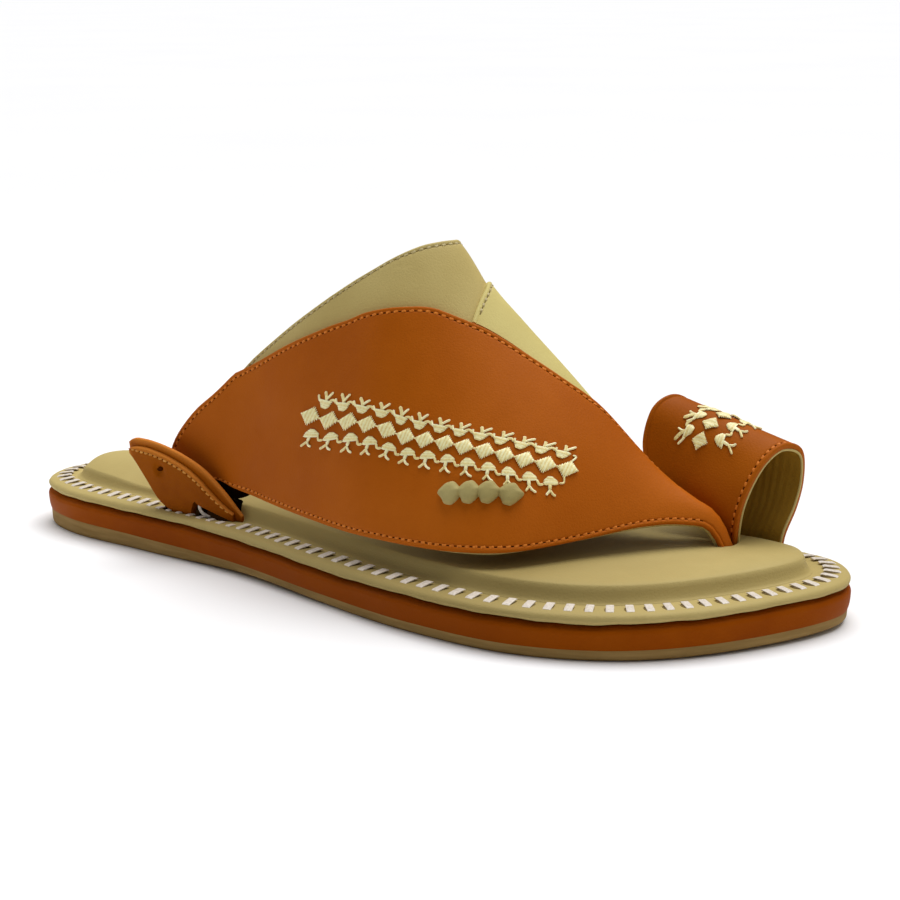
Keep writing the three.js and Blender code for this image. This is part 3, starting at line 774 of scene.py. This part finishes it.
# Sole layers: each edge as inset and share of the layer's height, from its foot to its top, and the
# waves of the worn seam as height, count and phase
TREAD_EDGE = [(1.9, 0), (1.2, 0.2), (1, 0.6), (0.9, 1)]
SOLE_EDGE = [(0.8, 0), (0.45, 0.16), (0.2, 0.36), (0.05, 0.62), (0.1, 0.74), (0.6, 0.88), (2.2, 1)]
RIM_EDGE = [(2.6, 0), (1, 0.11), (0.27, 0.36), (0.4, 0.62), (1.2, 0.86), (3, 1)]
PAD_EDGE = [(9.8, 0), (10.6, 0.1), (11.3, 0.3), (11.7, 0.5), (11.95, 0.68), (12.25, 0.82),
            (12.6, 0.92), (13, 0.97)]
SEAM_WAVES = [(0.2, 7, 0.4), (0.14, 17, 1.9), (0.1, 41, 0), (0.06, 73, 2.6)]
LAYER_LIFT, RIM_LIFT = 0.05, 0.25
turns = np.arange(RING_COUNT) / RING_COUNT * 2 * math.pi
seam = sum(height * np.sin(count * turns + phase) for height, count, phase in SEAM_WAVES)
ring_solid("tread", profile(TREAD_EDGE, tread, outsole_top), RUBBER, ["outsole"])
sole_rings = profile(SOLE_EDGE, lambda x: outsole_top(x) + LAYER_LIFT, midsole_top, 0, seam)
ring_solid("sole_edge", sole_rings, EDGE, ["midsole"])
rim_rings = profile(RIM_EDGE, lambda x: midsole_top(x) + RIM_LIFT, rim_top, seam, 0)
rim = ring_solid("footbed", rim_rings, FOOTBED, ["footbed_rim"])

# Insole: its edge lies lower at the heel, and its crown is fuller there
PAD_DROP, HEEL_DROP, PAD_CROWN, HEEL_CROWN = -0.2, 3.1, 1.0, 4.5
CROWN_FRONT, CROWN_RUN = -60, 40
PAD_MARGIN_SHARE, PAD_ACROSS = 0.5, 16


def pad_heel(x):
    return ease((CROWN_FRONT - x) / CROWN_RUN)


def pad_edge(x):
    return pad_top(x) - lerp(PAD_DROP, HEEL_DROP, pad_heel(x))


def pad_crown(x):
    return lerp(PAD_CROWN, HEEL_CROWN, pad_heel(x))


pad_rings = profile(PAD_EDGE, lambda x: rim_top(x) + LAYER_LIFT, pad_edge,
                    margin=PAD_MARGIN * PAD_MARGIN_SHARE)
pad = ring_solid("insole", pad_rings, FOOTBED, ["insole_pad"], pad_crown, PAD_ACROSS)

# Slits for the straps, as the ends of their middle lines and half their widths, with floors and
# walls painted dark as shade; the wide second one is cut where shade falls under the vamp's rear
SLITS = [(-72, -17, -50.5, -17.2, 4.9), (-68.5, -2.4, -55.8, -9.2, 6.3),
         (-69, 28.4, -48.5, 30, 2.6), (105.2, 22.6, 104.6, 26.2, 3.2),
         (84.5, 42.6, 113.5, 39.8, 2.6)]
SLIT_DEPTH, SLIT_HIGH = 2.6, 40


def slit_cutter(from_x, from_y, to_x, to_y, half, steps=10):
    turn = math.atan2(to_y - from_y, to_x - from_x)
    arc = turn + np.linspace(-0.5, 0.5, steps) * math.pi
    cap = half * np.column_stack([np.cos(arc), np.sin(arc)])
    plan = np.concatenate([(to_x, to_y) + cap, (from_x, from_y) - cap])
    n = len(plan)
    foot = float(rim_top(lerp(from_x, to_x, 0.5))) - SLIT_DEPTH
    points = np.concatenate([np.column_stack([plan, np.full(n, z)]) for z in (foot, SLIT_HIGH)])
    return mesh_object("slit", points, closed_faces(2, n), SLIT_SHADE)


cutters = [slit_cutter(*s) for s in SLITS]
for obj in (rim, pad):
    for cutter in cutters:
        hole = obj.modifiers.new("slit", "BOOLEAN")
        hole.operation = "DIFFERENCE"
        hole.solver = "EXACT"
        hole.material_mode = "TRANSFER"
        hole.object = cutter
    settle_modifiers(obj)
for cutter in cutters:
    bpy.data.objects.remove(cutter)

# Upper
STRAP_GRID, WING_GRID, VAMP_GRID = (100, 84), (44, 40), (130, 40)
LOOP_GRID, LINING_GRID, CORD_SIDES = (90, 16), (90, 100), 8
WING_FACE, WING_SEAT = STRAP_WALL + WING_STEP, STRAP_WALL - 0.4
LOOP_FACE, LOOP_SEAT, LOOP_INSIDE = 1.2, -0.25, -1.2
LINING_SPAN, LINING_SEAT = (0.012, 0.988), LOOP_SEAT - 0.05
WRINKLES, WRINKLE, WRINKLE_DRIFTS = 15, 0.16, [(0.35, 9, 2), (0.2, 23, 0)]
BINDING_SPAN, BINDING_SIDE = (0.04, 0.96), 0.006
BINDING_LEVEL, BINDING_WIDTH = LOOP_SEAT - 0.45, 0.8


def on_lining(share, side, away):
    """The loop's inside, with fine wrinkles round it."""
    drift = sum(size * np.sin(rate * share + phase) for size, rate, phase in WRINKLE_DRIFTS)
    ripple = np.sin(2 * math.pi * (WRINKLES * side + drift)) * np.sin(math.pi * np.clip(side, 0, 1))
    return on_loop(share, side, away + WRINKLE * ripple)


strap = leather_wall("instep_strap", on_strap, STRAP_GRID, (STRAP_WALL, 0), CREAM,
                     ["upper"], rear=1, low=0, high=0)
# The strap's inner face takes the lining leather, darker than its cream; this also paints the shade
# under the vamp.
strap.data.materials.append(LINING)
half_of_strap = len(strap.data.vertices) // 2
for face in strap.data.polygons:
    face.material_index = int(min(face.vertices) >= half_of_strap)
leather_wall("medial_wing", on_wing, WING_GRID, (WING_FACE, WING_SEAT), LIT_WING_CREAM,
             ["upper"], rear=1, high=0)
leather_wall("vamp_leather", on_vamp, VAMP_GRID, (VAMP_FACE, VAMP_SEAT), BROWN, ["vamp"],
             low=1, high=1)
leather_wall("toe_loop_leather", on_loop, LOOP_GRID, (LOOP_FACE, LOOP_SEAT), LOOP_BROWN,
             ["toe_loop"], low=1, high=1)
binding = on_loop(np.linspace(*BINDING_SPAN, LOOP_GRID[0]), BINDING_SIDE, BINDING_LEVEL)
joined("toe_loop_binding", [thread(*binding, BINDING_WIDTH, BINDING_WIDTH, CORD_SIDES)], CREAM)
wall("toe_loop_lining", sheet(on_loop, LINING_GRID, LINING_SEAT, LINING_SPAN),
     sheet(on_lining, LINING_GRID, LOOP_INSIDE, LINING_SPAN), LINING)

# Side tab: a back leaf, and a shorter front leaf stitched to it, notched where it enters the slit
TAB_FACE, TAB_SEAM, TAB_BACK = 1.2, -0.05, -1.2
FRONT_ENDS, BACK_ENDS, FRONT_GRID, BACK_GRID = (-87.8, -45.6), (-89, -43), (150, 46), (150, 20)
TAB_FOOT, TAB_LEAN, LEAN_FROM = 11.7, 0.14, 15.2
NOTCH, NOTCH_HALF, NOTCH_RISE = -60.1, 3, 7.4
LIFT_HIGH, LIFT_LOW, LIFT_FROM, LIFT_TO = 6.6, 2.3, -59, -45
EYELET, EYELET_DEPTH, EYELET_RADIUS = np.array([-74.1, 28]), 0.8, 2.2
EYELET_LEVEL, EYELET_SIZE, EYELET_RISE, EYELET_TURN = 0.55, (1.5, 0.75), 0.05, (1.0, 0, 0.3)
CREASE_END, CREASE_DEPTH, CREASE_HALF = np.array([-76.9, 24.3]), 0.4, 0.7
TIE_LEVEL, TIE_WIDTH, TIE_THICK, TIE_POINTS = 0.3, 1.25, 0.9, 25
front_top = smooth_table([-88, -86, -80, -73, -67, -62, -57.7, -54.5, -50.6, -45.5],
                         [33.1, 33.9, 34.4, 33.4, 31.7, 29.6, 26.7, 23.7, 20.2, 16.6])


def tab_face(x, z, away=0.0):
    """A point of the tab from its places along the foot and up, and its height off the middle."""
    return np.stack([x, -tab_at(x)[2] - TAB_LEAN * (z - LEAN_FROM) - away, z], -1)


def tab_leaf(ends, top):
    """A leaf of the tab, its foot notched for the tie and lifted in front of the notch."""
    def middle(share, side):
        x = lerp(*ends, np.asarray(share, float))
        low, high, _ = tab_at(x)
        notch = NOTCH_RISE * np.clip(1 - ((x - NOTCH) / NOTCH_HALF) ** 2, 0, 1)
        lift = lerp(LIFT_HIGH, LIFT_LOW, (x - LIFT_FROM) / (LIFT_TO - LIFT_FROM)) * (x > LIFT_FROM)
        foot = np.maximum(low, TAB_FOOT) + np.maximum(notch, lift)
        return tab_face(x, lerp(foot, top(x, high), side))

    return on_middle(middle)


on_front = tab_leaf(FRONT_ENDS, lambda x, high: front_top(x)[0])
on_back = tab_leaf(BACK_ENDS, lambda x, high: high)


def tab_dents(points):
    spot = points[..., [0, 2]]
    run = CREASE_END - EYELET
    along = np.clip((spot - EYELET) @ run / (run @ run), 0, 1)
    off = np.linalg.norm(spot - EYELET - along[..., None] * run, axis=-1)
    hole = np.linalg.norm(spot - EYELET, axis=-1)
    crease = CREASE_DEPTH * (1 - along) * np.exp(-((off / CREASE_HALF) ** 2))
    return EYELET_DEPTH * np.exp(-((hole / EYELET_RADIUS) ** 4)) + crease


leather_wall("side_tab_back", on_back, BACK_GRID, (TAB_SEAM, TAB_BACK), TAB_BROWN,
             ["side_tab"], rear=0, high=0)
leather_wall("side_tab_front", on_front, FRONT_GRID, (TAB_FACE, 0.0), TAB_BROWN,
             rear=0, high=1, dent=tab_dents)
TAB_OUT = unit(np.array([0, -1.0, -TAB_LEAN]))
eyelet = tab_face(*EYELET, EYELET_LEVEL), TAB_OUT, unit(np.array(EYELET_TURN))
# The eyelet's dark pad is painted shade in its hole.
joined("tab_eyelet", [dot(*eyelet, *EYELET_SIZE, EYELET_RISE)], BROWN_HOLE_SHADE)
tie = smooth_table([0, 1, 2, 3, 4], [-59.9, -59.1, -59, -57.6, -55.2], [20, 18.6, 16.6, 15, 14.2])
tie_path = tab_face(*tie(np.linspace(0, 4, TIE_POINTS)), TIE_LEVEL)
joined("tab_tie", [thread(tie_path, TAB_OUT, TIE_WIDTH, TIE_THICK, CORD_SIDES)], WHITE)

# Woven lace: four padded lozenges in a row on the vamp
LACE_FIRST, LACE_LAST, LACE_BEADS = (48.3, 29.8), (62.7, 37.2), 4
BEAD_HALF, BEAD_RISE, CORNER_ROUNDS, CORNER = (3.85, 3.4), 2.5, 2, 0.16
BEAD_OUTLINE = np.array([(1.1, 0.16), (0.7, 0.5), (0.28, 1.04), (-0.34, 0.9), (-1.08, 0.1),
                         (-0.66, -0.44), (-0.46, -0.92), (0.1, -1.04), (0.5, -0.68)])
BEAD_PROFILE = [(0.96, -0.4), (1, 0.1), (0.98, 0.34), (0.9, 0.6), (0.74, 0.82), (0.5, 0.95),
                (0.24, 1)]


def rounded(outline):
    for _ in range(CORNER_ROUNDS):
        after = np.roll(outline, -1, 0)
        ends = [lerp(outline, after, t) for t in (CORNER, 1 - CORNER)]
        outline = np.stack(ends, 1).reshape(-1, 2)
    return outline


def bead(middle, along, up):
    across = np.cross(up, along)
    plan = rounded(BEAD_OUTLINE) * BEAD_HALF
    flat = plan[:, :1] * along + plan[:, 1:] * across
    n = len(flat)
    points = [middle + flat * r + up * h * BEAD_RISE for r, h in BEAD_PROFILE]
    points = np.concatenate(points + [(middle + up * BEAD_RISE)[None]])
    top = (len(BEAD_PROFILE) - 1) * n
    cap = [[top + i, top + (i + 1) % n, top + n] for i in range(n)]
    return points, side_faces(len(BEAD_PROFILE), n) + cap + [list(range(n))[::-1]]


lace_x, lace_around = np.linspace(LACE_FIRST, LACE_LAST, LACE_BEADS).T
lace_spots = off_last(lace_x, lace_around, VAMP_FACE + 0 * lace_x)
lace_along, lace_up = unit(np.gradient(lace_spots, axis=0)), last_normal(lace_x, lace_around)
beads = [bead(p, unit(a - u * (a @ u)), u) for p, a, u in zip(lace_spots, lace_along, lace_up)]
joined("lace_strip", beads, LACE, ["woven_lace"])

# Tape stitches along the footbed's edge, each over a pad of painted shadow, counted from one at the
# ball
BAR_FROM, BAR_INSET, BAR_HALF, BAR_THICK, BAR_TILT = 105, 5.5, 2.5, 0.5, 0.14
BAR_POINTS, BAR_SIDES, BAR_ENDS, BAR_SQUARENESS, BAR_LIFT, BAR_TUCK = 9, 12, 0.92, 0.5, 0.1, 0.25
BAR_SHARE, SHADE_SHARE, SHADE_LENGTH, SHADE_SHIFT, SHADE_RISE = 0.42, 0.28, 2.6, 0.2, 0.05
TAB_REAR, TAB_FRONT, SHORT_INSET, SHORT_HALF = -79, -41, 4.3, 1.5
bar_pitch = smooth_table([-146, -25, 5, 25, 80, 115, 146], [5.1, 5.2, 6.5, 6.5, 5.9, 5.35, 5.35])
bars, bar_shades = [], []
line = inset_ring(BAR_INSET)
pitches = bar_pitch(line[:, 0])[0]
course = np.cumsum(np.linalg.norm(np.roll(line, -1, 0) - line, axis=1) / pitches)
bar_count = int(round(course[-1]))
course = np.concatenate([[0], course * bar_count / course[-1]])
closed = np.column_stack([SOLE_RING, RING_INWARD, pitches])
closed = np.vstack([closed, closed[:1]])
lateral = line[:, 1] < 0
first_bar = np.interp(BAR_FROM, line[lateral, 0], course[:-1][lateral])
ABOVE = np.array([0, 0, 1.0])
for at in (first_bar + np.arange(bar_count)) % bar_count:
    spot = np.array([np.interp(at, course, closed[:, k]) for k in range(5)])
    p, way, pitch = spot[:2], unit(spot[2:4]), spot[4]
    by_tab = p[1] < 0 and TAB_REAR < p[0] < TAB_FRONT
    inset, half, tilt = (SHORT_INSET, SHORT_HALF, 0) if by_tab else (BAR_INSET, BAR_HALF, BAR_TILT)
    q = np.linspace(-1, 1, BAR_POINTS)
    plan = p + way * (inset + half * q)[:, None]
    z = rim_top(plan[:, 0]) + BAR_LIFT + tilt * half * (q + 1) - BAR_TUCK * np.abs(q) ** 10
    bars.append(thread(np.column_stack([plan, z]), ABOVE, BAR_SHARE * pitch, BAR_THICK, BAR_SIDES,
                       BAR_ENDS, BAR_SQUARENESS))
    middle = np.append(p + way * inset, rim_top(p[0]))
    ahead = np.append(way, 0)
    # A pad of painted shadow under each bar, shifted to one side
    bar_shades.append(dot(middle - np.cross(ahead, ABOVE) * SHADE_SHIFT, ABOVE, ahead,
                        SHADE_LENGTH * half / BAR_HALF, SHADE_SHARE * pitch, SHADE_RISE, BAR_SIDES))
joined("rim_stitches", bars, WHITE)
joined("rim_bar_shades", bar_shades, RIM_BAR_SHADE)

# Sewn edges: thread, painted shade of the needle holes and pitch, then each edge's surface, span
# and face
TAN_SEWN, CREAM_SEWN = (TAN_THREAD, BROWN_HOLE_SHADE, 2.4), (CREAM_THREAD, CREAM_HOLE_SHADE, 2.4)
TAB_SEWN = (TAB_THREAD, BROWN_HOLE_SHADE, 2.1)
for name, slot, sewn, surface, span, face, edge in [
        ("vamp_top_stitches", "vamp", TAN_SEWN, on_vamp, (0.1, 0.965), VAMP_FACE, "high"),
        ("vamp_low_stitches", "vamp", TAN_SEWN, on_vamp, (0.05, 0.965), VAMP_FACE, "low"),
        ("collar_stitches", "strap", CREAM_SEWN, on_strap, (0.05, 0.95), STRAP_WALL, "rear"),
        ("wing_stitches", "strap", CREAM_SEWN, on_wing, (0.04, 0.96), WING_FACE, "rear"),
        ("loop_front_stitches", "toe_loop", TAN_SEWN, on_loop, (0.12, 0.95), LOOP_FACE, "low"),
        ("tab_stitches", "side_tab", TAB_SEWN, on_front, (0.03, 0.97), TAB_FACE, "high")]:
    stitch_row(name, slot, seam_line(surface, span, face, edge), *sewn)

# Embroidery: a row of satin diamonds between two rows of small cups with three prongs. Along the
# band the count is in diamonds; across it the rows of cups are at 1 and -1.
STROKE_STEPS, STROKE_LIFT, STROKE_THICK, PRONG_LIFT, PRONG_THICK = 5, 0.25, 0.6, 0.3, 0.7
LINK_WIDTH, END_WIDTH = 0.8, 0.6
SATIN_POINTS, SATIN_REACH, SATIN_ARCH, SATIN_THICK = 7, (-0.02, 1.02), 0.9, 0.5
SATIN_LOW, SATIN_SWELL = 0.55, 0.45
CUP_SATIN, BOWL_SATIN = (3, 0.15, 0.35, 0.8), (3, 0.15, 0.3, 0.8)
DIAMOND_SATIN = (6, 0.2, 0.6, 0.72)


def band_map(rows, surface):
    reads = [smooth_table(*row) for row in rows]

    def at(along, across, lift):
        along, across, lift = grids(along, across, lift)
        low, middle, top = (read(along) for read in reads)
        spot = (low * (across * (across - 1) / 2) + middle * (1 - across**2)
                + top * (across * (across + 1) / 2))
        return surface(spot[0], spot[1], lift)

    return at


def stroke(band, points, width, lift=STROKE_LIFT, height=STROKE_THICK):
    points = np.array(points, float)
    q = np.linspace(0, len(points) - 1, (len(points) - 1) * STROKE_STEPS + 1)
    path, normal = band(*smooth_table(np.arange(len(points)), *points.T)(q), lift)
    return thread(path, normal, width, height)


def satin(band, a, b, c, d, count, lift, dome, width):
    """Threads laid side by side from the line a-b to the line c-d."""
    made = []
    a, b, c, d = (np.array(p, float) for p in (a, b, c, d))
    t = np.linspace(*SATIN_REACH, SATIN_POINTS)
    for k in range(count):
        q = (k + 0.5) / count
        uv = lerp(lerp(a, b, q)[:, None], lerp(c, d, q)[:, None], t)
        arch = np.sqrt(np.clip(1 - (2 * t - 1) ** 2 * SATIN_ARCH, 0, 1))
        arch = arch * (SATIN_LOW + SATIN_SWELL * math.sin(math.pi * q))
        path, normal = band(uv[0], uv[1], lift + dome * arch)
        made.append(thread(path, normal, width, SATIN_THICK))
    return made


DIAMOND = (0.5, 0.61)
TOP_CUP = [[(-0.46, 0.1), (-0.3, -0.16), (-0.24, -0.3)], [(0.3, 0.12), (0.2, -0.2), (0.06, -0.36)]]
TOP_PRONGS = [([(-0.36, -0.02), (-0.46, 0.16), (-0.52, 0.34)], 0.7),
              ([(-0.02, 0.08), (-0.1, 0.38), (-0.22, 0.66)], 1.1),
              ([(-0.04, 0.2), (0.1, 0.44), (0.28, 0.68)], 0.7)]
TOP_LINK = [(0.14, 0.12), (0.36, 0.22), (0.54, 0.06)]
LOW_CUP = [[(0.32, 0.3), (0.33, 0), (0.2, -0.24)], [(-0.37, 0.08), (-0.3, -0.12), (-0.02, -0.27)]]
LOW_PRONGS = [([(0.02, 0.15), (-0.03, 0.53)], 1.1),
              ([(-0.03, 0.5), (0.05, 0.7), (0.13, 0.86)], 0.75),
              ([(-0.03, 0.5), (-0.2, 0.72), (-0.39, 0.81)], 0.75)]
LOW_LINK = [(-0.34, 0.05), (-0.5, 0.3), (-0.68, 0.25)]
END_LINK = [(-0.1, 1), (0.1, 0.9), (0, 0.5)]


def motif(band, along, sign, link):
    """A filled cup with its prongs, and the thread that leads to the next one."""
    def spots(points):
        return [(along + sign * u, sign * (1 + v)) for u, v in points]

    top, low = (TOP_CUP, TOP_PRONGS, TOP_LINK), (LOW_CUP, LOW_PRONGS, LOW_LINK)
    cup, prongs, lead = top if sign > 0 else low
    left, right = (spots(side) for side in cup)
    made = satin(band, *left[:2], *right[:2], *CUP_SATIN)
    made += satin(band, *left[1:], *right[1:], *BOWL_SATIN)
    for points, width in prongs:
        made.append(stroke(band, spots(points), width, PRONG_LIFT, PRONG_THICK))
    if link:
        made.append(stroke(band, spots(lead), LINK_WIDTH))
    return made


def embroider(name, band, count, size=1.0):
    made = []
    half, tall = DIAMOND[0] * size, DIAMOND[1] * size
    for k in range(count):
        rear, low, top, front = (k - half, 0), (k, -tall), (k, tall), (k + half, 0)
        made += satin(band, rear, low, rear, top, *DIAMOND_SATIN)
        made += satin(band, low, front, top, front, *DIAMOND_SATIN)
    last = count - 1
    for k in range(last):
        for sign in (1, -1):
            made += motif(band, k + 0.5, sign, k < last - 1)
    for sign in (1, -1):
        made.append(stroke(band, [(last + u, v * sign) for u, v in END_LINK], END_WIDTH))
    obj = joined(name, made, GOLD)
    # Every other thread takes the darker gold: painted shade between the threads.
    obj.data.materials.append(GOLD_PAINTED_SHADE)
    tones = np.repeat(np.arange(len(made)) % 2, [len(faces) for _, faces in made])
    obj.data.polygons.foreach_set("material_index", tones.astype(np.int32))


def on_vamp_face(x, around, lift):
    return off_last(x, around, VAMP_FACE + lift), last_normal(x, around)


def on_loop_face(share, side, lift):
    return on_loop(share, side, LOOP_FACE + lift)


CUP_PLACES = [-0.5, 0.5, 2.5, 4.5, 7.5, 10.5, 12.5, 13.5]
vamp_band = band_map([
    (CUP_PLACES, [-15, -5.6, 12, 25.5, 44.2, 60.3, 68.6, 72.2],
     [26.3, 26.8, 28.2, 31.2, 36.7, 42.6, 46.5, 48.3]),
    ([-1, 0, 2, 4, 7, 10, 13, 14], [-16, -7.1, 10, 23.5, 41.7, 57.5, 70.1, 73.8],
     [29.4, 29.8, 30.8, 33.7, 39.5, 46, 53.4, 56]),
    (CUP_PLACES, [-9.4, -1, 14.4, 26.9, 44.8, 60, 68.1, 71.8],
     [32.9, 33.1, 34.2, 37.9, 44.2, 51.8, 57.8, 61])], on_vamp_face)
embroider("vamp_embroidery", vamp_band, 14)
loop_band = band_map([
    ([-0.5, 0.5, 1.5, 4.5], [0.341, 0.4145, 0.487, 0.709], [0.385, 0.392, 0.403, 0.433]),
    ([-1, 0, 1, 4], [0.315, 0.386, 0.457, 0.67], [0.53, 0.533, 0.539, 0.565]),
    ([-0.5, 0.5, 1.5, 4.5], [0.334, 0.4045, 0.475, 0.69], [0.652, 0.659, 0.666, 0.69])],
    on_loop_face)
embroider("loop_embroidery", loop_band, 4, 0.8)

# Stage: the floor in millimetres, lights in metres and watts
FLOOR_HALF, WORLD_LIGHT, SUN, SUN_ANGLE = 30000, 0.17, 3.2, math.radians(55)
TOE_LIGHT, HEEL_LIGHT, LIGHT_SIZE = 0.2, 0.42, 0.35
corners = [(x * FLOOR_HALF, y * FLOOR_HALF, 0) for x, y in ((-1, -1), (1, -1), (1, 1), (-1, 1))]
paper = Nodes("white_paper", 0.9, 0.05)
two_tones(paper, paper.noise(3), (242, 242, 243), (244, 244, 245))
floor = mesh_object("floor", corners, [[0, 1, 2, 3]], paper.material)

world = bpy.data.worlds.new("studio")
scene.world = world
world.use_nodes = True
sky = world.node_tree.nodes["Background"].inputs
sky["Color"].default_value = (1, 1, 1, 1)
sky["Strength"].default_value = WORLD_LIGHT


def lamp(name, kind, energy, place, target, **values):
    data = bpy.data.lights.new(name, kind)
    data.energy = energy
    for key, value in values.items():
        setattr(data, key, value)
    obj = show(name, data)
    obj.location = place
    obj.rotation_mode = "QUATERNION"
    obj.rotation_quaternion = (Vector(target) - Vector(place)).to_track_quat("-Z", "Y")


lamp("overhead", "SUN", SUN, (0, 0.34, 1.0), (0, 0, 0), angle=SUN_ANGLE)
lamp("toe_side", "AREA", TOE_LIGHT, (0.46, 0.0, 0.34), (0.1, 0, 0.03), size=LIGHT_SIZE)
lamp("heel_side", "AREA", HEEL_LIGHT, (-0.42, -0.12, 0.32), (-0.08, 0, 0.04), size=LIGHT_SIZE)

# Camera: its lens, its angles, and its place in its own axes from the part's middle, in millimetres
LENS, SENSOR, CLIP = 96, 36, (0.05, 100)
AZIMUTH, ELEVATION, ROLL, CAMERA_PLACE = 35.62, 11.56, -0.29, (18.87, 38.14, 745.15)
camera = bpy.data.cameras.new("camera")
camera.lens, camera.sensor_width = LENS, SENSOR
camera.clip_start, camera.clip_end = CLIP
stand = Matrix.Translation(Vector(CAMERA_PLACE) * MM)
for angle, axis in ((ROLL, "Z"), (90 - ELEVATION, "X"), (AZIMUTH, "Z")):
    stand = Matrix.Rotation(math.radians(angle), 4, axis) @ stand
viewer = show("camera", camera)
viewer.matrix_world = stand
scene.camera = viewer
scene.view_settings.view_transform = "Standard"
